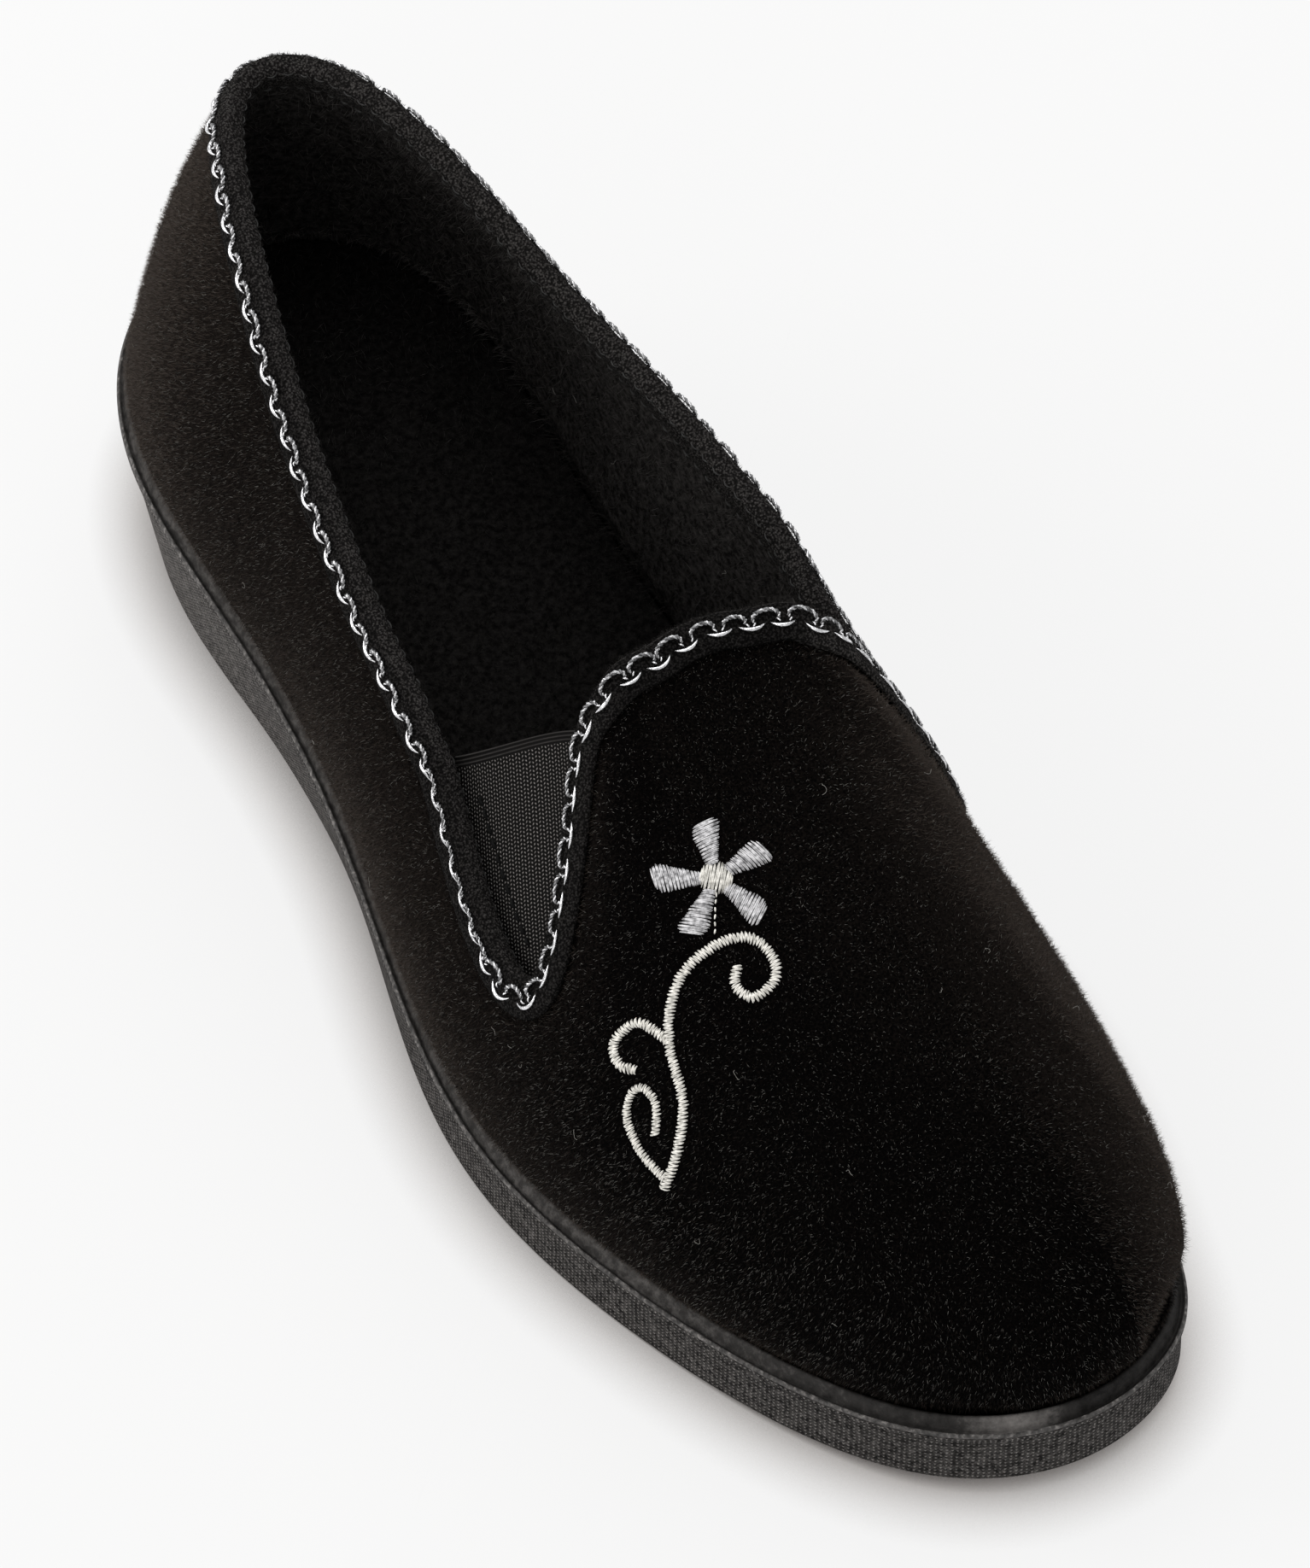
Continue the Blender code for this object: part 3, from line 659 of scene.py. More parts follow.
def tubes(paths, radii, sides, facing, look):
    """Points, faces and look of closed tubes along paths; facing is roughly their upper side."""
    count, length, _ = paths.shape
    tangent = unit(np.gradient(paths, axis=1))
    side = unit(np.cross(tangent, facing))
    upper = np.cross(side, tangent)
    angle = np.arange(sides) * 2.0 * np.pi / sides
    spread = np.cos(angle)[:, None] * side[:, :, None, :] + np.sin(angle)[:, None] * upper[:, :, None, :]
    points = paths[:, :, None, :] + np.asarray(radii)[..., None, None] * spread
    number = np.arange(count * length * sides).reshape(count, length, sides)
    after = np.roll(number, -1, axis=2)
    quads = np.stack([number[:, :-1], number[:, 1:], after[:, 1:], after[:, :-1]], axis=-1).reshape(-1, 4)
    caps = np.concatenate([number[:, 0], number[:, -1, ::-1]])
    return points.reshape(-1, 3), [quads, caps], look


def add_tubes(name, bundles, replaces=()):
    """One piece from several bundles of tubes, each given as its points, faces and look."""
    points, groups, looks, start = [], [], [], 0
    for bundle_points, faces, look in bundles:
        if look not in looks:
            looks.append(look)
        groups += [(face + start, looks.index(look)) for face in faces]
        points.append(bundle_points)
        start += len(bundle_points)
    add_piece(name, np.concatenate(points), groups, looks, replaces=replaces)


def scatter(grid, count, rng):
    """Even random places on a grid of points: the places, normals, both directions, and row and column."""
    low_left, low_right = grid[:-1, :-1], grid[:-1, 1:]
    high_left, high_right = grid[1:, :-1], grid[1:, 1:]
    area = np.linalg.norm(np.cross(high_right - low_left, high_left - low_right), axis=2).ravel()
    cell = rng.choice(len(area), size=count, p=area / area.sum())
    row, col = np.unravel_index(cell, low_left.shape[:2])
    across, up = rng.random((2, count, 1))
    first = grid[row, col] * (1 - across) + grid[row, col + 1] * across
    second = grid[row + 1, col] * (1 - across) + grid[row + 1, col + 1] * across
    round_way = unit(grid[row, col + 1] - grid[row, col])
    up_way = unit(grid[row + 1, col] - grid[row, col])
    return first * (1 - up) + second * up, unit(np.cross(round_way, up_way)), round_way, up_way, row, col


HAIR_WIDTH = 0.000050


def pile(name, roots, ways, lengths, tones, look, width=HAIR_WIDTH):
    """Short hairs: each a closed slim spike with a tone of its own."""
    helper = np.where(np.abs(ways[:, 2:]) < 0.9, [[0.0, 0.0, 1.0]], [[1.0, 0.0, 0.0]])
    side = unit(np.cross(ways, helper))
    other = np.cross(ways, side)
    angle = np.arange(3)[:, None] * 2.0 * np.pi / 3.0
    foot = roots[:, None] + width * (np.cos(angle) * side[:, None] + np.sin(angle) * other[:, None])
    points = np.concatenate([foot, (roots + ways * lengths[:, None])[:, None]], axis=1)
    spike = np.array([[0, 1, 3], [1, 2, 3], [2, 0, 3], [0, 2, 1]])
    faces = (np.arange(len(roots))[:, None, None] * 4 + spike).reshape(-1, 3)
    heights = np.tile((spike == 3).ravel().astype(float), len(roots))
    uv = np.column_stack([np.repeat(tones, spike.size), heights])
    add_piece(name, points, [(faces, 0)], [look], uv)


# Upper: velour outside, fleece inside

UPPER_COLUMNS = 360
UPPER_ROWS = 34
UPPER_EVEN_DROP = 0.012
# Soft troughs pressed into the velour: station, share of the wall, reach round and up, and depth
TROUGHS = (
    ("gore_rear_outer", 0.30, 0.016, 0.22, 0.0005),
    ("gore_front_inner", 0.46, 0.014, 0.20, 0.0008),
    ("quarter_outer", 0.45, 0.030, 0.25, 0.0004),
    ("quarter_inner", 0.45, 0.030, 0.25, 0.0004),
    ("tip_outer", 0.22, 0.020, 0.15, 0.0004),
)
# Stretch of the length over which the toe begins
TOE_STRETCH = (0.80, 0.92)
# Puffed roll above the lip: height, loss at the toe, and the wall's shares over which it rises and fades
FOOT_ROLL = 0.0012
TOE_ROLL_LOSS = 0.75
ROLL_START = 0.03
ROLL_REACH = 0.15
SEAM_TROUGH = 0.0005
# Width of the trough along the tape, as a share of the wall's height
SEAM_WIDTH = 0.04
# Painted sheen: the nap is painted black where the face turns this way, and paler the further it turns from
# it
SHEEN_DARK_FACING = unit(np.array([0.47, 0.76, 0.46]))
SHEEN_DARK_UNTIL = 0.78
SHEEN_PALE_REACH = 0.62


def at_toe(turn):
    """0 behind the toe, 1 round its tip."""
    return smooth_step(stretch_share(stations(turn)["along"], TOE_STRETCH))


def relief(turn, share):
    """Rise of the velour over the plain wall: a puffed roll above the lip, and the listed troughs."""
    roll = FOOT_ROLL * (1.0 - TOE_ROLL_LOSS * at_toe(turn))
    rise = roll * smooth_step(share / ROLL_START) * np.exp(-(share / ROLL_REACH) ** 2)
    half = 0.5 * ROUND_LENGTH
    for station, height, reach, spread, depth in TROUGHS:
        away = np.mod(turn - TURN_OF[station] + half, ROUND_LENGTH) - half
        rise -= depth * np.exp(-(away / reach) ** 2 - ((share - height) / spread) ** 2)
    return rise


def upper_grids():
    """Outer and inner faces of the upper, in rows from the well to the opening, and the outer normals."""
    turn = even_turns(UPPER_COLUMNS, UPPER_EVEN_DROP)
    outside = [edge_ring(turn, UPPER_INSET, well_floor(turn))]
    inside = [edge_ring(turn, UPPER_INSET + WALL, well_floor(turn))]
    normals = []
    leg_turn, leg_share = below_edge(turn, BINDING_LEG)
    parts = np.linspace(0.0, 1.0, UPPER_ROWS)
    places = [(turn + (leg_turn - turn) * part, leg_share * part) for part in parts]
    places.append((turn, opening_share(turn)))
    for index, place in enumerate(places):
        face, normal = wall(*place), wall_normal(*place)
        seam = SEAM_TROUGH * np.exp(-((1.0 - index / (UPPER_ROWS - 1)) / SEAM_WIDTH) ** 2)
        outside.append(face + normal * (relief(*place) - seam)[:, None])
        inside.append(face - normal * WALL)
        normals.append(normal)
    return np.array(outside), np.array(inside), np.array(normals[:1] + normals)


def sheen_turn(normals):
    """How far faces turn from the way in which the nap is painted black: 0 to 1, the share of painted sheen.
    """
    return np.clip((SHEEN_DARK_UNTIL - normals @ SHEEN_DARK_FACING) / SHEEN_PALE_REACH, 0.0, 1.0)


def add_upper():
    rings = np.concatenate([OUTSIDE, INSIDE[::-1]])
    faces, corner_rows, _ = grid_faces(rings, wrap_rows=True)
    is_lining = (corner_rows[:, 0] >= len(OUTSIDE) - 1).astype(int)
    # The velour's tone is painted sheen: paler where the face turns from the way in which the nap is painted
    # black
    tones = np.concatenate([sheen_turn(OUTSIDE_NORMALS), np.zeros(INSIDE.shape[:2])])
    add_piece("velour_upper", rings, [(faces, is_lining)], ["velour_ground", "lining_ground"],
              tone_uv(tones, faces), ["upper"])


OUTSIDE, INSIDE, OUTSIDE_NORMALS = upper_grids()
add_upper()


# Embroidery: a chart in millimetres, down the vamp from the flower and across it, laid on the velour

CHART_ORIGIN = np.array([12.98, 47.64, 67.51]) * MM
CHART_NORMAL = unit(np.array([0.328, 0.390, 0.860]))
CHART_DOWN = unit(np.cross(np.cross(CHART_NORMAL, [0.589, 0.627, -0.509]), CHART_NORMAL))
CHART_ACROSS = np.cross(CHART_DOWN, CHART_NORMAL)
# Height from which the chart's points drop onto the velour
CHART_HEIGHT = 0.03
# Scrolls of the vine: width, and rows of (down, across)
SCROLLS = {
    "stem_scroll": (1.62, ((12.0, -5.4), (14.6, -5.6), (16.0, -8.1), (14.0, -10.5), (11.3, -10.9),
                           (8.7, -9.0), (7.6, -6.2), (8.7, -3.0), (11.3, -0.1), (15.1, 2.3), (20.4, 2.9),
                           (25.6, 1.8), (32.0, -1.0), (38.7, -1.4), (44.6, 0.0))),
    "middle_curl": (1.52, ((24.1, 2.5), (22.2, 6.8), (23.6, 9.3), (26.0, 10.4), (28.3, 9.1), (28.8, 6.4))),
    "leaf_loop": (1.28, ((43.0, 0.2), (40.2, 3.8), (37.2, 6.1), (34.8, 7.0), (32.2, 6.7), (31.1, 5.2),
                         (32.6, 3.1), (35.1, 2.4), (37.3, 2.3))),
}
SCROLL_SLANT = 0.18
# Petals: direction from down towards across in degrees, and length
PETALS = ((157.4, 8.3), (-132.5, 8.2), (-61.0, 8.6), (12.7, 8.9), (78.4, 8.8))
PETAL_START = 2.0
PETAL_SLANT = 0.25
# Shares of a petal's length, and its half widths there
PETAL_SHARES = (0.0, 0.35, 0.7, 0.88, 1.0)
PETAL_HALF_WIDTHS = (1.0, 1.55, 2.2, 2.35, 1.6)
HEART_RADIUS = 2.4
HEART_LIFT = 0.15
# Running stitches from the flower to the vine: from and to, how many, half length and lean
STEM_FROM, STEM_TO, STEM_STITCHES = 2.4, 7.6, 6
STEM_HALF = 0.34
STEM_LEAN = -0.16
STEM_SIDE = -0.5
STITCH_STEP = 0.26
STITCH_RADIUS = 0.135
STITCH_RISE = 0.34
STITCH_DIVE = 0.55
# Neighbouring stitches lean this way and that, end unevenly and slip a little
STITCH_SLANT = 0.13
STITCH_UNEVEN = 0.21
PETAL_UNEVEN = 0.05
STITCH_SLIP = 0.05
STITCH_TAPER = np.array([0.40, 0.85, 1.0, 1.0, 1.0, 0.85, 0.40])


def smooth_line(points, step):
    """Points at even steps along a smooth curve through a chart's rows."""
    points = np.array(points)
    padded = np.concatenate([[2 * points[0] - points[1]], points, [2 * points[-1] - points[-2]]])
    t = np.linspace(0.0, 1.0, 24, endpoint=False)[:, None]
    fine = [0.5 * (2 * b + (c - a) * t + (2 * a - 5 * b + 4 * c - d) * t**2 + (3 * b - a - 3 * c + d) * t**3)
            for a, b, c, d in zip(padded, padded[1:], padded[2:], padded[3:])]
    fine = np.concatenate(fine + [points[-1:]])
    walked = walk(fine)
    wanted = np.arange(0.0, walked[-1], step)
    return np.column_stack([np.interp(wanted, walked, fine[:, k]) for k in range(2)])


def satin(centres, cross_ways, half_widths, rng, uneven=STITCH_UNEVEN, lift=0.0):
    """Stitches across a shape in the chart, as paths of (down, across, rise)."""
    count = len(centres)
    ends = 1.0 + rng.uniform(-uneven, uneven, (count, 2))
    slip = rng.uniform(-STITCH_SLIP, STITCH_SLIP, (count, 1, 2))
    slant = STITCH_SLANT * uneven / STITCH_UNEVEN * (1.0 - 2.0 * (np.arange(count) % 2))[:, None]
    cross_ways = np.broadcast_to(cross_ways, (count, 2))
    ways = unit(cross_ways + slant * np.column_stack([cross_ways[:, 1], -cross_ways[:, 0]]))
    share = np.linspace(-1.0, 1.0, len(STITCH_TAPER))
    reach = np.where(share < 0.0, ends[:, :1], ends[:, 1:]) * share * np.reshape(half_widths, (-1, 1))
    flat = centres[:, None] + ways[:, None] * reach[:, :, None] + slip
    rise = np.broadcast_to(lift + STITCH_RISE - STITCH_DIVE * share**4, reach.shape)
    return np.concatenate([flat, rise[:, :, None]], axis=2)


def on_velour(chart_paths, tree):
    """Chart paths in millimetres laid on the velour, and the velour's normals there."""
    places, normals = [], []
    for down, across, rise in chart_paths.reshape(-1, 3) * MM:
        start = CHART_ORIGIN + CHART_DOWN * down + CHART_ACROSS * across + CHART_NORMAL * CHART_HEIGHT
        hit, normal, _, _ = tree.ray_cast(Vector(start), Vector(-CHART_NORMAL))
        outside = np.array(normal) if normal.dot(Vector(CHART_NORMAL)) > 0 else -np.array(normal)
        places.append(np.array(hit) + outside * rise)
        normals.append(outside)
    return np.reshape(places, chart_paths.shape), np.reshape(normals, chart_paths.shape)


def chart_stitches():
    """All stitches of the motif, by look."""
    rng = np.random.default_rng(11)
    ivory, pearl = [], []
    for width, line in SCROLLS.values():
        centres = smooth_line(line, STITCH_STEP)
        ahead = unit(np.gradient(centres, axis=0))
        cross = np.column_stack([-ahead[:, 1], ahead[:, 0]])
        ivory.append(satin(centres, unit(cross + SCROLL_SLANT * ahead), 0.5 * width, rng))
    heart = np.arange(0.5 * STITCH_STEP - HEART_RADIUS, HEART_RADIUS, STITCH_STEP)
    centres = np.column_stack([np.zeros(len(heart)), heart])
    half = np.sqrt(HEART_RADIUS**2 - heart**2)
    ivory.append(satin(centres, [1.0, 0.0], half, rng, PETAL_UNEVEN, HEART_LIFT))
    for degrees, length in PETALS:
        way = np.array([math.cos(math.radians(degrees)), math.sin(math.radians(degrees))])
        out = np.arange(PETAL_START, length, STITCH_STEP)
        half = np.interp((out - PETAL_START) / (length - PETAL_START), PETAL_SHARES, PETAL_HALF_WIDTHS)
        cross = unit(np.array([-way[1], way[0]]) + PETAL_SLANT * way)
        pearl.append(satin(out[:, None] * way, cross, half, rng, PETAL_UNEVEN))
    stem = np.linspace(STEM_FROM, STEM_TO, STEM_STITCHES)
    centres = np.column_stack([stem, STEM_SIDE + STEM_LEAN * (stem - STEM_FROM)])
    ivory.append(satin(centres, [1.0, STEM_LEAN], STEM_HALF, rng))
    return {"ivory_silk": np.concatenate(ivory), "pearl_silk": np.concatenate(pearl)}


def add_embroidery():
    """Lays the stitches and returns their points, where the velour has no hairs."""
    tree = BVHTree.FromPolygons(OUTSIDE.reshape(-1, 3).tolist(), grid_faces(OUTSIDE)[0].tolist())
    bundles, places = [], []
    for look, chart_paths in chart_stitches().items():
        paths, normals = on_velour(chart_paths, tree)
        bundles.append(tubes(paths, STITCH_RADIUS * MM * STITCH_TAPER, 6, normals, look))
        places.append(paths.reshape(-1, 3))
    add_tubes("flower_embroidery", bundles)
    return np.concatenate(places)


STITCHED = add_embroidery()


# Nap of the velour and of the lining

VELOUR_HAIRS = 122000
SKIRT_HAIRS = 8000
VELOUR_PIECES = 3
LINING_HAIRS = 17000
INSOLE_HAIRS = 10000
INSOLE_SKIRT_HAIRS = 3500
STITCH_CLEAR = 0.0005
STITCH_BOX = 0.002
NAP_DARK_TONE = 0.10
SHEEN_PALE_GAIN = 0.46
PATCH_TONE = 0.08
NAP_LENGTH = (0.0009, 0.0015)
NAP_SIDE_LENGTH = 0.0002
# Lean of the hairs on the vamp, and what the sides and the painted glint hairs add to it
NAP_LEAN = (0.25, 0.55)
NAP_SIDE_LEAN = (0.5, 1.4)
NAP_GLINT_LEAN = 0.5
NAP_SINK = 0.0002
# What turns the hairs that lean: patches, chance, the way to the heel and the way down the wall
NAP_LAY = (0.5, 0.45, 0.55, 0.65)
# Hairs that hang over the lip: share of the wall that they grow on, length, the way out, the way down and
# chance in their direction, paleness (painted sheen), and what they lose in length and paleness at the toe
SKIRT_BAND = 0.05
SKIRT_LENGTH = (0.0014, 0.0026)
SKIRT_LAY = (0.85, 0.60, 0.35)
SKIRT_PALE = 0.9
SKIRT_TOE_LOSS = 0.6
SKIRT_TOE_DARK = 0.8
FLEECE_LENGTH = (0.0010, 0.0022)
INSOLE_SKIRT_LENGTH = (0.0018, 0.0034)
TONE_SPREAD = 0.12
# Share of the hairs painted pale as glints of light, on the vamp and on the sides
GLINT_SHARE = (0.50, 0.12)
GLINT_LENGTH = 0.6
# How much paler the pile is at the heel and on the inner side; on the velour this paleness is painted sheen
HEEL_SHEEN = 1.5
INNER_SHEEN = 0.40
INNER_TURN = 0.4
HEEL_FROM = -0.045
HEEL_BLEND = 0.05
HEEL_LINING_TONE = 0.15
HEEL_INSOLE_TONE = 0.36
LINING_TONE = 0.50
INSOLE_TONE = 0.14
INSOLE_EDGE_TONE = 0.42
# Waves per metre over which hairs lean together, times two pi
NAP_PATCHES = 260.0
TONE_PATCHES = 160.0
FLEECE_CURLS = 420.0
TAPE_CURLS = 900.0


def heelward(places):
    """0 from the waist forward, 1 at the heel."""
    return smooth_step((HEEL_FROM - places[:, 1]) / HEEL_BLEND)


def hair_count(full):
    return full


def flow(places, rng, scale):
    """A slow wandering vector over the surface, for hairs that lean together in patches."""
    result = np.zeros(places.shape)
    for _ in range(5):
        direction = rng.normal(size=3) * scale
        result += np.sin(places @ direction + rng.uniform(0.0, 6.28))[:, None] * rng.normal(size=3)
    return result / 5.0


def tangled(place, normal, rng, scale, curl=0.8, loose=0.6):
    """Directions of hairs that stand off a face, curled in patches and each a little its own way."""
    return unit(normal + curl * flow(place, rng, scale) + loose * rng.normal(size=place.shape))


def off_face(ways, normal):
    """Turns round the hairs that point into the face."""
    return np.where(np.sum(ways * normal, axis=1, keepdims=True) < 0.0, -ways, ways)


def spread_tones(tones, rng, highest=1.0):
    """Hair tones scattered about their mean."""
    return np.clip(tones + rng.normal(0.0, TONE_SPREAD, len(tones)), 0.0, highest)


def clear_of_stitches(places):
    """True where no stitch lies close."""
    low, high = STITCHED.min(axis=0) - STITCH_BOX, STITCHED.max(axis=0) + STITCH_BOX
    numbers = np.where(np.all((places > low) & (places < high), axis=1))[0]
    free = np.ones(len(places), bool)
    for part in np.array_split(numbers, max(1, len(numbers) // 2000)):
        away = np.linalg.norm(places[part][:, None] - STITCHED[None], axis=2).min(axis=1)
        free[part] = away > STITCH_CLEAR
    return free


def velour_hairs(rng):
    """Roots, directions, lengths and tones of the nap: upright on the vamp, brushed down on the sides."""
    place, normal, _, up_way, _, _ = scatter(wrapped(OUTSIDE)[1:-1], hair_count(VELOUR_HAIRS), rng)
    count = len(place)
    turned = sheen_turn(normal)
    # Paleness is painted sheen: where the face turns from the nap's dark way, more at the heel, and on the
    # inner side
    pale = turned * (1.0 + HEEL_SHEEN * heelward(place)) + INNER_SHEEN * smooth_step(-normal[:, 0] / INNER_TURN)
    means = NAP_DARK_TONE + SHEEN_PALE_GAIN * pale + PATCH_TONE * flow(place, rng, TONE_PATCHES)[:, 0]
    # Painted glints: some hairs get pale grey tones that stand in for light on their tips
    glint_hairs = rng.random(count) < GLINT_SHARE[0] + (GLINT_SHARE[1] - GLINT_SHARE[0]) * turned
    bright = GLINT_TONE + (1.0 - GLINT_TONE) * rng.random(count) ** 2
    tones = np.where(glint_hairs, bright, spread_tones(means, rng, BROWN_TONE))
    toeward = np.array([0.0, 1.0, 0.0]) - normal * normal[:, 1:2]
    patch, chance, back, down = NAP_LAY
    lay = unit(patch * flow(place, rng, NAP_PATCHES) + chance * rng.normal(size=place.shape)
               - back * toeward - down * up_way)
    lean = rng.uniform(*NAP_LEAN, count) + turned * rng.uniform(*NAP_SIDE_LEAN, count)
    lean += NAP_GLINT_LEAN * glint_hairs
    ways = unit(normal + lean[:, None] * (lay - normal * np.sum(lay * normal, axis=1, keepdims=True)))
    lengths = rng.uniform(*NAP_LENGTH, count) + NAP_SIDE_LENGTH * turned
    lengths[glint_hairs] *= GLINT_LENGTH
    keep = clear_of_stitches(place)
    return place[keep], ways[keep], lengths[keep], tones[keep]


def skirt_hairs(rng):
    """Nap at the wall's foot that hangs over the lip, longer along the sides than at the toe."""
    count = hair_count(SKIRT_HAIRS)
    turn = rng.uniform(0.0, ROUND_LENGTH, count)
    place = wall(turn, rng.uniform(0.0, SKIRT_BAND, count))
    toe = at_toe(turn)
    out, down, chance = SKIRT_LAY
    ways = unit(out * outward(turn) - down * UP + chance * rng.normal(size=place.shape))
    lengths = rng.uniform(*SKIRT_LENGTH, count) * (1.0 - SKIRT_TOE_LOSS * toe)
    # Painted sheen: skirt hairs are paler along the sides and darker at the toe
    means = NAP_DARK_TONE + SHEEN_PALE_GAIN * (SKIRT_PALE - SKIRT_TOE_DARK * toe)
    return place, ways, lengths, spread_tones(means, rng, BROWN_TONE)


def add_velour_nap():
    """All hairs of the velour, in pieces of equal size."""
    rng = np.random.default_rng(5)
    hairs = [np.concatenate(pair) for pair in zip(velour_hairs(rng), skirt_hairs(rng))]
    for number in range(VELOUR_PIECES):
        place, ways, lengths, tones = (values[number::VELOUR_PIECES] for values in hairs)
        roots = place - ways * NAP_SINK
        pile(f"velour_nap_{number + 1}", roots, ways, lengths, tones, "velour_hair")


def add_lining_nap():
    """Longer, tangled hairs of the fleece lining."""
    rng = np.random.default_rng(6)
    place, normal, *_ = scatter(wrapped(INSIDE)[3:-1], hair_count(LINING_HAIRS), rng)
    ways = off_face(tangled(place, -normal, rng, FLEECE_CURLS), -normal)
    tones = spread_tones(LINING_TONE + HEEL_LINING_TONE * heelward(place), rng)
    pile("lining_nap", place, ways, rng.uniform(*FLEECE_LENGTH, len(place)), tones, "lining_hair")


add_velour_nap()
add_lining_nap()


# Insole

INSOLE_POINTS = 240
INSOLE_ROUND = 0.0012
# Hairs over the footbed's edge: how far up the wall they grow, the way up and chance in their direction
INSOLE_SKIRT_BAND = 0.002
INSOLE_SKIRT_LAY = (0.25, 0.45)
# What keeps every hair of the footbed off its face
INSOLE_LEAST_RISE = 0.05


def add_insole():
    turn = np.arange(INSOLE_POINTS) * ROUND_LENGTH / INSOLE_POINTS
    angle = np.linspace(0.0, 0.5 * np.pi, 5)
    insets = [0.0, *(INSOLE_ROUND * (1 - np.cos(angle)))]
    rises = [0.0, *(INSOLE_THICKNESS - INSOLE_ROUND * (1 - np.sin(angle)))]
    rings = np.array([edge_ring(turn, INSOLE_INSET + inset, well_floor(turn) + rise)
                      for inset, rise in zip(insets, rises)])
    groups = [(grid_faces(rings)[0], 0), *cap_groups(rings, 0, 0)]
    piece = add_piece("fleece_insole", rings, groups, ["insole_ground"], replaces=["insole"])
    add_insole_nap(rings[-1])


def add_insole_nap(rim):
    """Hairs on the footbed's face, and a ring of longer ones over the line where it meets the wall."""
    half = INSOLE_POINTS // 2
    left, right = rim[1:half], rim[:half:-1]
    share = np.linspace(0.0, 1.0, 9)[:, None, None]
    rng = np.random.default_rng(7)
    place, normal, *_ = scatter(left * (1 - share) + right * share, hair_count(INSOLE_HAIRS), rng)
    ways = tangled(place, np.where(normal[:, 2:] < 0.0, -normal, normal), rng, FLEECE_CURLS)
    lengths = rng.uniform(*FLEECE_LENGTH, len(place))
    count = hair_count(INSOLE_SKIRT_HAIRS)
    turn = rng.uniform(0.0, ROUND_LENGTH, count)
    rise = INSOLE_THICKNESS + rng.uniform(0.0, INSOLE_SKIRT_BAND, count)
    edge = edge_ring(turn, INSOLE_INSET - 2 * GAP, well_floor(turn) + rise)
    upright, chance = INSOLE_SKIRT_LAY
    edge_ways = unit(upright * UP - outward(turn) + chance * rng.normal(size=edge.shape))
    means = np.repeat([INSOLE_TONE, INSOLE_EDGE_TONE], [len(place), count])
    place = np.concatenate([place, edge])
    ways = np.concatenate([ways, edge_ways])
    ways[:, 2] = np.abs(ways[:, 2]) + INSOLE_LEAST_RISE
    lengths = np.concatenate([lengths, rng.uniform(*INSOLE_SKIRT_LENGTH, count)])
    tones = spread_tones(means + HEEL_INSOLE_TONE * heelward(place), rng)
    pile("insole_nap", place, unit(ways), lengths, tones, "lining_hair")


add_insole()


# Binding with its stitches, and the chain braid on it

TAPE_COLUMNS = 900
TAPE_HAIRS = 20000
TAPE_HAIR_LENGTH = (0.0003, 0.0009)
TAPE_TONE = 0.34
# Section of the tape over the edge, in millimetres: depth outside the wall's face and drop below the edge
TAPE_SECTION = (
    (0.10, 4.8), (0.62, 4.6), (0.90, 4.0), (0.98, 3.0), (0.98, 2.0), (0.94, 1.0), (0.82, 0.1), (0.52, -0.5),
    (0.0, -0.8), (-0.6, -0.9), (-1.4, -0.9), (-2.0, -0.78), (-2.48, -0.45), (-2.76, 0.1), (-2.88, 1.0),
    (-2.92, 2.0), (-2.92, 3.0), (-2.88, 4.0), (-2.75, 4.6), (-2.5, 4.8), (-2.5, -0.15), (0.1, -0.15),
)
# Rows of the section that show, rows of the outer leg, and its painted shade where it faces as the vamp does;
# elsewhere it is painted paler as sheen
TAPE_FACE_ROWS = 20
TAPE_OUTER_ROWS = 8
VAMP_TAPE_SHADE = 0.35
STITCH_PITCH = 0.0026
# Length of a stitch as a share of its pitch, how deep its ends sink and how far its middle stands out
TAPE_STITCH_SHARE = (0.5, 0.65)
TAPE_STITCH_SINK = 0.00015
TAPE_STITCH_BULGE = 0.00030
# Rows of stitches: depth and drop of each as in the section, and the thread's radius
TAPE_STITCH_ROWS = ((-0.00290, BINDING_LEG - 0.0009, 0.00018), (-0.00264, -0.00030, 0.00013))


def add_binding(turn):
    """Folded tape with its fuzz."""
    rings = np.array([beside_edge(turn, depth * MM, drop * MM) for depth, drop in TAPE_SECTION])
    rng = np.random.default_rng(8)
    faces, _, _ = grid_faces(rings, wrap_rows=True)
    # Painted shade and sheen: the outer leg is darker where it faces as the vamp does and paler where it
    # turns away; the fuzz takes the same
    shades = np.ones(rings.shape[:2])
    turned = sheen_turn(wall_normal(turn, opening_share(turn)))
    shades[:TAPE_OUTER_ROWS] = VAMP_TAPE_SHADE + (1.0 - VAMP_TAPE_SHADE) * turned
    add_piece("knit_binding", rings, [(faces, 0)], ["knit_tape"],
              tone_uv(shades, faces), ["collar_binding"])
    place, normal, _, _, row, col = scatter(wrapped(rings[:TAPE_FACE_ROWS]), hair_count(TAPE_HAIRS), rng)
    ways = off_face(tangled(place, normal, rng, TAPE_CURLS, 0.9, 0.75), normal)
    tones = spread_tones(TAPE_TONE * shades[row, col], rng)
    lengths = rng.uniform(*TAPE_HAIR_LENGTH, len(place))
    pile("tape_fuzz", place, ways, lengths, tones, "tape_hair", 0.9 * HAIR_WIDTH)


def line_frames(turn, depth, drop):
    """Closed line beside the opening's edge: walked distance, points, normals and directions to the edge."""
    place = below_edge(turn, drop)
    normal = wall_normal(*place)
    points = wall(*place) + normal * depth
    ahead = unit(np.roll(points, -1, axis=0) - np.roll(points, 1, axis=0))
    return walk(np.concatenate([points, points[:1]])), points, normal, np.cross(normal, ahead)


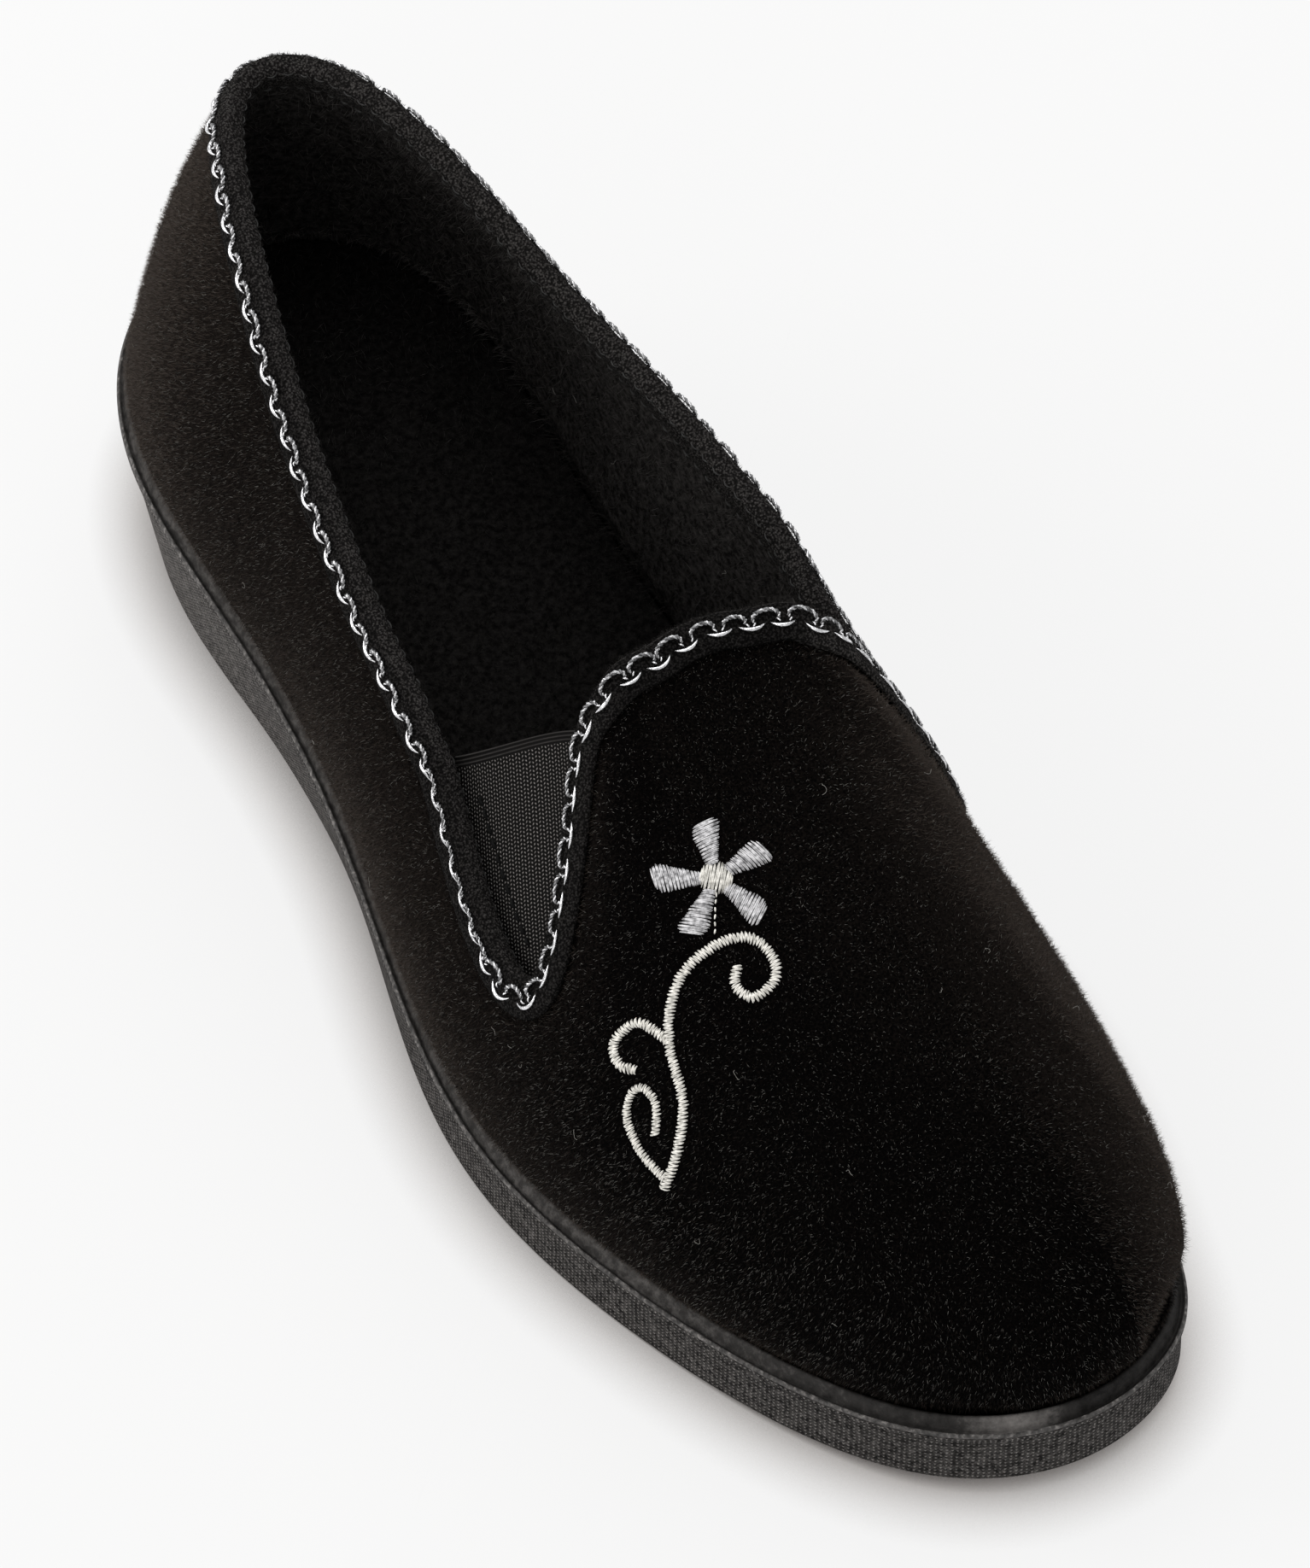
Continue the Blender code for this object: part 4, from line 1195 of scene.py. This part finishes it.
def along_line(line, distance, side, rise):
    """Points at distances along a line, moved to its side and up from it, with the normals there."""
    walked = line[0]
    wanted = np.mod(distance, walked[-1])
    found = []
    for values in line[1:]:
        closed = np.concatenate([values, values[:1]])
        found.append(np.stack([np.interp(wanted, walked, closed[:, k]) for k in range(3)], axis=-1))
    place, up, edge = found
    return place + edge * np.asarray(side)[..., None] + up * rise[..., None], up


def add_tape_stitches(turn):
    """Short stitches that hold the tape's inner leg, in a row near its lower edge and one along the rim."""
    rng = np.random.default_rng(9)
    share = np.linspace(0.0, 1.0, 5)
    bundles = []
    for depth, drop, radius in TAPE_STITCH_ROWS:
        line = line_frames(turn, depth, drop)
        count = round(line[0][-1] / STITCH_PITCH)
        start = np.arange(count)[:, None] * line[0][-1] / count
        distance = start + share * STITCH_PITCH * rng.uniform(*TAPE_STITCH_SHARE, (count, 1))
        bulge = TAPE_STITCH_SINK - TAPE_STITCH_BULGE * np.sin(np.pi * share)
        paths, up = along_line(line, distance, 0.0, bulge)
        bundles.append(tubes(paths, radius, 5, up, "black_thread"))
    add_tubes("tape_stitches", bundles)


# Links of the braid: a twisted arch that opens away from the edge, then a smooth bow between two arches' feet
BRAID_PITCH = 0.0052
BRAID_BASE = 0.0010
HEEL_BRAID_DROP = 0.0014
HEEL_BRAID_FROM = 0.12
HEEL_BRAID_BLEND = 0.04
LINK_SLIP = 0.00025
LINK_SIZES = (0.80, 1.16)
ARCH_HALF_WIDTH = 0.0019
ARCH_HEIGHT = 0.00100
ARCH_CENTRE = 0.0003
ARCH_FOOT_ANGLE = math.radians(25.0)
ARCH_POINTS = 21
ARCH_LENGTH = 0.0062
STRAND_RADIUS = 0.00021
STRAND_SWING = 0.00019
LINK_RISE = 0.00038
LINK_DIVE = 0.00048
TWIST_PITCH = 0.0013
BOW_HALF_WIDTH = 0.00205
BOW_SIDE = -0.00042
BOW_DEPTH = 0.00075
BOW_POINTS = 13
BOW_RADIUS = 0.00031
BOW_RISE = 0.00032
BOW_SINK = 0.00005
FOOT_REACH = 0.00050
FOOT_RADIUS = 0.00014
FOOT_SIDE = -0.00005
FOOT_DEPTH = 0.00055
FOOT_RISE = 0.00030
# Taut links behind and before a notch: swing, and start, blend, end and blend in the notch's reach
TAUT_LINKS = ((0.45, -1.25, 0.2, -0.22, 0.15), (0.70, 0.1, 0.2, 1.3, 0.3))
# How much further the links swing out at the notch's foot, and over what reach
NOTCH_LINKS = 0.35
NOTCH_LINK_REACH = 0.2


def link_gain(line, turn, distance):
    """How far the links swing out: less on the taut stretches beside a notch, more at its foot."""
    place = np.interp(np.mod(distance, line[0][-1]), line[0][:-1], turn)
    gain = np.ones(distance.shape)
    for name in NOTCHES:
        reach = notch_reach(name, place)
        for swing, start, rising, end, falling in TAUT_LINKS:
            taut = smooth_step((reach - start) / rising) * smooth_step((end - reach) / falling)
            gain -= (1.0 - swing) * taut
        gain += NOTCH_LINKS * np.exp(-(reach / NOTCH_LINK_REACH) ** 2)
    return gain


def taut_radius(radius, gain):
    """Yarn is thinner where the links are stretched."""
    return radius * np.minimum(0.4 + 0.6 * gain, 1.0)


def arch_strands(line, turn, middle, size):
    """Two strands twisted round each other along each arch; the second is darker, painted shade that shows
    the twist.
    """
    share = np.linspace(-1.0, 1.0, ARCH_POINTS)
    angle = 0.5 * np.pi - share * (0.5 * np.pi + ARCH_FOOT_ANGLE)
    distance = middle + size * ARCH_HALF_WIDTH * np.cos(angle)
    gain = link_gain(line, turn, distance)
    side = gain * size * (ARCH_CENTRE + ARCH_HEIGHT * np.sin(angle))
    radii = taut_radius(STRAND_RADIUS * (1.0 - 0.5 * share**4), gain)
    centre, up = along_line(line, distance, side, LINK_RISE - LINK_DIVE * share**4)
    beside = np.cross(up, unit(np.gradient(centre, axis=1)))
    turns = 0.5 * (share + 1.0) * ARCH_LENGTH / TWIST_PITCH
    for strand, look in enumerate(("silver_twist", "silver_shade")):
        twist = 2.0 * np.pi * (turns + 0.5 * strand)[:, None]
        swing = STRAND_SWING * (np.cos(twist) * beside + np.sin(twist) * up)
        yield tubes(centre + swing, radii, 7, up, look)


def add_braid(turn):
    """Chain of twisted arches next to the opening and smooth bows between their feet."""
    at_heel = smooth_step((HEEL_BRAID_FROM - stations(turn)["top_along"]) / HEEL_BRAID_BLEND)
    drop = BRAID_DROP + HEEL_BRAID_DROP * at_heel
    line = line_frames(turn, BRAID_BASE, drop[:, None])
    count = round(line[0][-1] / BRAID_PITCH)
    pitch = line[0][-1] / count
    rng = np.random.default_rng(10)
    middle = np.arange(count)[:, None] * pitch + rng.normal(0.0, LINK_SLIP, (count, 1))
    size = rng.uniform(*LINK_SIZES, (count, 1))
    bundles = list(arch_strands(line, turn, middle, size))
    share = np.linspace(-1.0, 1.0, BOW_POINTS)
    bow = 1.0 - share**2
    distance = middle + 0.5 * pitch + BOW_HALF_WIDTH * share
    gain = link_gain(line, turn, distance)
    side = gain * size * (BOW_SIDE - BOW_DEPTH * bow)
    centre, up = along_line(line, distance, side, BOW_RISE * bow - BOW_SINK)
    radii = taut_radius(BOW_RADIUS * (0.15 + 0.85 * bow), gain)
    bundles.append(tubes(centre, radii, 8, up, "silver_flat"))
    share = np.linspace(0.0, 1.0, 5)
    for hand in (-1.0, 1.0):
        distance = middle + hand * (ARCH_HALF_WIDTH * math.cos(ARCH_FOOT_ANGLE) + FOOT_REACH * (share - 0.2))
        side = link_gain(line, turn, distance) * (FOOT_SIDE - FOOT_DEPTH * share)
        centre, up = along_line(line, distance, side, FOOT_RISE * np.sin(np.pi * share))
        bundles.append(tubes(centre, FOOT_RADIUS, 6, up, "silver_flat"))
    add_tubes("chain_braid", bundles, ["braid_trim"])


tape_turn = even_turns(TAPE_COLUMNS, BRAID_DROP)
for add_trim in (add_binding, add_tape_stitches, add_braid):
    add_trim(tape_turn)


# Gores

GORE_COLUMNS = 56
# Rows up the panel, close together in its upper tenth for the cords
GORE_PARTS = np.concatenate([np.linspace(0.0, 0.9, 26)[:-1], np.linspace(0.9, 1.0, 16)])
GORE_ROWS = len(GORE_PARTS)
GORE_FRONT = WALL + TAPE + 2 * GAP
CORD_SWELL = 0.00022
# Row of stitches beside the notch's rear side: how far in, how many, how high up the side, and their length
GORE_STITCH_INSET = 0.0043
GORE_STITCHES = 11
GORE_STITCH_REACH = (0.96, 0.36)
GORE_STITCH_SHARE = 0.62
GORE_STITCH_RADIUS = 0.00030
GORE_STITCH_SINK = 0.0002
GORE_STITCH_BULGE = 0.0005


def add_gore(name):
    """Elastic panel behind a notch, with three cords along its upper edge."""
    centre, forward = notch_place(name)
    rear, front = NOTCH_REAR_REACH + GORE_MARGIN_T, NOTCH_FRONT_REACH + GORE_MARGIN_T
    turn = centre + forward * np.linspace(-rear, front, GORE_COLUMNS)
    low = opening_share(turn) - GORE_MARGIN_S
    high = GORE_TOP + GORE_CROWN * (1.0 - notch_reach(name, turn) ** 2)
    places = [(turn, low + (high - low) * part) for part in GORE_PARTS]
    sheet = np.array([wall(*place) for place in places])
    normals = np.array([wall_normal(*place) for place in places])
    steps = np.linalg.norm(np.diff(sheet, axis=0), axis=2)[::-1]
    below_top = np.concatenate([np.zeros((1, GORE_COLUMNS)), np.cumsum(steps, axis=0)])[::-1]
    cords = np.where(below_top < GORE_SELVEDGE, np.sin(np.pi * below_top / GORE_CORD) ** 2, 0.0)
    swell = (CORD_SWELL * cords)[:, :, None]
    outside = sheet - normals * (GORE_FRONT - swell)
    inside = sheet - normals * (GORE_FRONT + GORE_THICKNESS + swell)
    rings = np.swapaxes(np.concatenate([outside, inside[::-1]]), 0, 1)
    order = slice(None, None, -1 if forward > 0.0 else 1)
    faces, corner_rows, corner_columns = (part[:, order] for part in grid_faces(rings))
    ring_size = 2 * GORE_ROWS
    depth = np.concatenate([below_top, below_top[::-1]]).T
    uv = np.column_stack([walk(rings[:, GORE_ROWS // 2])[corner_rows.ravel()],
                          depth[corner_rows.ravel(), corner_columns.ravel() % ring_size]])
    near = np.arange(GORE_ROWS - 1)
    flap = np.stack([near, near + 1, ring_size - 2 - near, ring_size - 1 - near], axis=1)[:, order]
    groups = [(faces, 0), (flap[:, ::-1], 0), (flap + (GORE_COLUMNS - 1) * ring_size, 0)]
    add_piece(f"elastic_{name}", rings, groups, ["gore_weave"], uv, [name])


def add_gore_stitches():
    """Dark stitches that hold each panel along the notch's rear side."""
    starts = np.linspace(*GORE_STITCH_REACH, GORE_STITCHES, endpoint=False)[:, None]
    share = np.linspace(0.0, 1.0, 5)
    reach = starts + GORE_STITCH_SHARE * (starts[1] - starts[0]) * share
    bulge = GORE_STITCH_BULGE * np.sin(np.pi * share) - GORE_STITCH_SINK
    bundles = []
    for name in NOTCHES:
        centre, forward = notch_place(name)
        edge_turn = (centre - forward * NOTCH_REAR_REACH * reach).ravel()
        place = (edge_turn + forward * GORE_STITCH_INSET, opening_share(edge_turn))
        normal = wall_normal(*place).reshape(*reach.shape, 3)
        paths = wall(*place).reshape(normal.shape) + normal * (bulge - GORE_FRONT)[:, None]
        bundles.append(tubes(paths, GORE_STITCH_RADIUS, 6, normal, "dark_thread"))
    add_tubes("gore_stitches", bundles)


for gore_name in NOTCHES:
    add_gore(gore_name)
add_gore_stitches()


# Sole

SOLE_COLUMNS = 400
GROOVE_FOOT = -0.0022
SOLE_LOOKS = ["tread_rubber", "sole_rubber", "lip_rubber", "ridge_rubber"]
# Section of the sole's edge from the tread to the well: where the height counts from, inset, rise, and the
# look of the band below; in the middle of the wall the rise is a share of its height
SOLE_SECTION = (
    ("bottom", 0.0006, 0.0000, "tread_rubber"), ("bottom", 0.0002, 0.0001, "sole_rubber"),
    ("bottom", 0.0000, 0.0005, "sole_rubber"), ("mid", 0.00035, 0.5, "sole_rubber"),
    ("rim", 0.0006, GROOVE_FOOT, "sole_rubber"), ("rim", 0.00025, -0.0019, "sole_rubber"),
    ("rim", 0.0000, -0.0015, "sole_rubber"), ("rim", 0.0000, -0.0006, "sole_rubber"),
    ("rim", 0.00012, -0.0002, "ridge_rubber"), ("rim", 0.0004, 0.0000, "ridge_rubber"),
    ("rim", 0.00065, -0.0002, "lip_rubber"), ("rim", 0.0009, -0.0007, "lip_rubber"),
    ("rim", 0.0011, -0.0004, "lip_rubber"), ("rim", 0.0013, 0.0000, "lip_rubber"),
    ("rim", 0.0018, 0.0009, "lip_rubber"), ("rim", 0.0021, LIP_RISE - 0.0001, "lip_rubber"),
    ("rim", 0.0024, LIP_RISE, "lip_rubber"), ("rim", WELL_INSET, LIP_RISE - 0.0002, "lip_rubber"),
    ("rim", WELL_INSET, -WELL_DEPTH, "lip_rubber"),
)


def add_sole():
    turn = np.arange(SOLE_COLUMNS) * ROUND_LENGTH / SOLE_COLUMNS
    along = stations(turn)["along"]
    foot, rim = bottom_height(along), rim_height(along)
    rings = []
    for base, inset, rise, _ in SOLE_SECTION:
        if base == "bottom":
            inset, height = undercut(along) + inset, foot + rise
        elif base == "mid":
            inset, height = undercut(along) * (1 - rise) + inset, foot + (rim + GROOVE_FOOT - foot) * rise
        else:
            height = rim + rise
        rings.append(edge_ring(turn, inset, height))
    rings = np.array(rings)
    faces, corner_rows, corner_columns = grid_faces(rings)
    bands = np.repeat([SOLE_LOOKS.index(row[3]) for row in SOLE_SECTION[1:]], SOLE_COLUMNS)
    steps = np.linalg.norm(np.diff(rings, axis=0), axis=2)
    up = np.concatenate([np.zeros((1, SOLE_COLUMNS)), np.cumsum(steps, axis=0)])
    uv = np.column_stack([corner_columns.ravel() * ROUND_LENGTH / SOLE_COLUMNS,
                          up[corner_rows.ravel(), corner_columns.ravel() % SOLE_COLUMNS]])
    tread, lip = (SOLE_LOOKS.index(name) for name in ("tread_rubber", "lip_rubber"))
    groups = [(faces, bands), *cap_groups(rings, tread, lip)]
    add_piece("wedge_unit", rings, groups, SOLE_LOOKS, uv, ["wedge_sole"])


add_sole()


# Lint caught on the velour and the fleece

LINT_FIBRES = 60
LINT_POINTS = 9
LINT_RADIUS = 0.00003
LINT_STRIDE = (0.00012, 0.00030)
LINT_HEIGHT = (0.0010, 0.0016)


def add_lint():
    """Fine pale fibres, curled, half of them on the velour and half inside."""
    rng = np.random.default_rng(12)
    count = LINT_FIBRES // 2
    paths, facing = [], []
    for grid, hand in ((wrapped(OUTSIDE)[6:-4], 1.0), (wrapped(INSIDE)[6:-6], -1.0)):
        place, normal, round_way, *_ = scatter(grid, count, rng)
        normal *= hand
        angle = rng.uniform(0.0, 6.28, (count, 1))
        angle = angle + np.cumsum(rng.normal(0.25, 0.5, (count, LINT_POINTS)), axis=1)
        stride = rng.uniform(*LINT_STRIDE, (count, 1))
        along = np.cumsum(stride * np.cos(angle), axis=1)[:, :, None] * round_way[:, None]
        across = np.cumsum(stride * np.sin(angle), axis=1)[:, :, None] * np.cross(normal, round_way)[:, None]
        height = rng.uniform(*LINT_HEIGHT, (count, 1, 1))
        paths.append(place[:, None] + along + across + normal[:, None] * height)
        facing.append(np.repeat(normal[:, None], LINT_POINTS, axis=1))
    fibres = tubes(np.concatenate(paths), LINT_RADIUS, 4, np.concatenate(facing), "lint")
    add_tubes("lint_fibres", [fibres])


add_lint()


# Studio: floor, light and camera

CAMERA_TARGET = Vector((-0.00576, 0.00428, 0.030))
CAMERA_DISTANCE = 1.16868
CAMERA_AZIMUTH = math.radians(149.77)
CAMERA_ELEVATION = math.radians(52.91)
CAMERA_ROLL = math.radians(-0.72)
CAMERA_LENS = 179.34
SENSOR = 36.0
WORLD_LIGHT = 0.62
FLOOR_HALF = 3.0
# The floor is a lit white sheet that glows: its glow keeps the shadow pale, and falls off close to the sole
# as a painted shadow
FLOOR_COLOUR = (0.13, 0.13, 0.13)
FLOOR_GLOW = 0.780
SHADOW_REACH = 0.011
SHADOW_TONES = ((0.25, (0.08, 0.07, 0.065)), (0.60, (0.50, 0.47, 0.45)), (0.92, (1.0, 1.0, 1.0)))
# Softboxes: place, size, power and colour; each looks at the shoe
SOFTBOXES = (
    ("top_box", (-0.20, -0.30, 1.25), 1.10, 7.0, (1.0, 0.99, 0.98)),
    ("front_box", (0.75, 0.75, 0.55), 0.60, 3.0, (1.0, 0.98, 0.96)),
    ("back_box", (-0.55, -0.80, 0.70), 0.60, 3.0, (0.97, 0.98, 1.0)),
    ("side_box", (0.85, -0.70, 0.55), 0.60, 7.0, (1.0, 0.98, 0.96)),
)
BOX_TARGET = Vector((0.0, 0.0, 0.03))


def add_to_scene(name, data):
    made = bpy.data.objects.new(name, data)
    bpy.context.scene.collection.objects.link(made)
    return made


def add_floor():
    paint = Look("floor_paint", FLOOR_COLOUR, 0.9, 0.0)
    # Painted shadow: the glow dims where the sole occludes the floor
    near = paint.node("AmbientOcclusion", {"Distance": SHADOW_REACH}, "AO", samples=4)
    paint.set(paint.shader, {"Emission Color": paint.ramp(near, SHADOW_TONES),
                             "Emission Strength": FLOOR_GLOW})
    mesh = bpy.data.meshes.new("floor")
    corners = [(x * FLOOR_HALF, y * FLOOR_HALF, 0) for x, y in ((-1, -1), (1, -1), (1, 1), (-1, 1))]
    mesh.from_pydata(corners, [], [(0, 1, 2, 3)])
    mesh.materials.append(LOOKS["floor_paint"])
    add_to_scene("floor", mesh)


def add_lights():
    world = bpy.data.worlds.new("studio")
    world.use_nodes = True
    sky = world.node_tree.nodes["Background"]
    sky.inputs["Color"].default_value = (1.0, 1.0, 1.0, 1.0)
    sky.inputs["Strength"].default_value = WORLD_LIGHT
    bpy.context.scene.world = world
    for name, place, size, power, colour in SOFTBOXES:
        lamp = bpy.data.lights.new(name, "AREA")
        lamp.size = size
        lamp.energy = power
        lamp.color = colour
        box = add_to_scene(name, lamp)
        box.location = place
        box.rotation_euler = (BOX_TARGET - Vector(place)).to_track_quat("-Z", "Y").to_euler()


def add_camera():
    across, ahead = math.cos(CAMERA_AZIMUTH), math.sin(CAMERA_AZIMUTH)
    flat, rise = math.cos(CAMERA_ELEVATION), math.sin(CAMERA_ELEVATION)
    back = Vector((ahead * flat, -across * flat, rise))
    level = Vector((across, ahead, 0.0))
    upright = back.cross(level)
    right = level * math.cos(CAMERA_ROLL) + upright * math.sin(CAMERA_ROLL)
    up = upright * math.cos(CAMERA_ROLL) - level * math.sin(CAMERA_ROLL)
    lens = bpy.data.cameras.new("photo_view")
    lens.sensor_width = SENSOR
    lens.lens = CAMERA_LENS
    camera = add_to_scene("photo_view", lens)
    turned = Matrix((right, up, back)).transposed().to_4x4()
    camera.matrix_world = Matrix.Translation(CAMERA_TARGET + back * CAMERA_DISTANCE) @ turned
    bpy.context.scene.camera = camera


add_floor()
add_lights()
add_camera()
bpy.context.scene.view_settings.view_transform = "Standard"
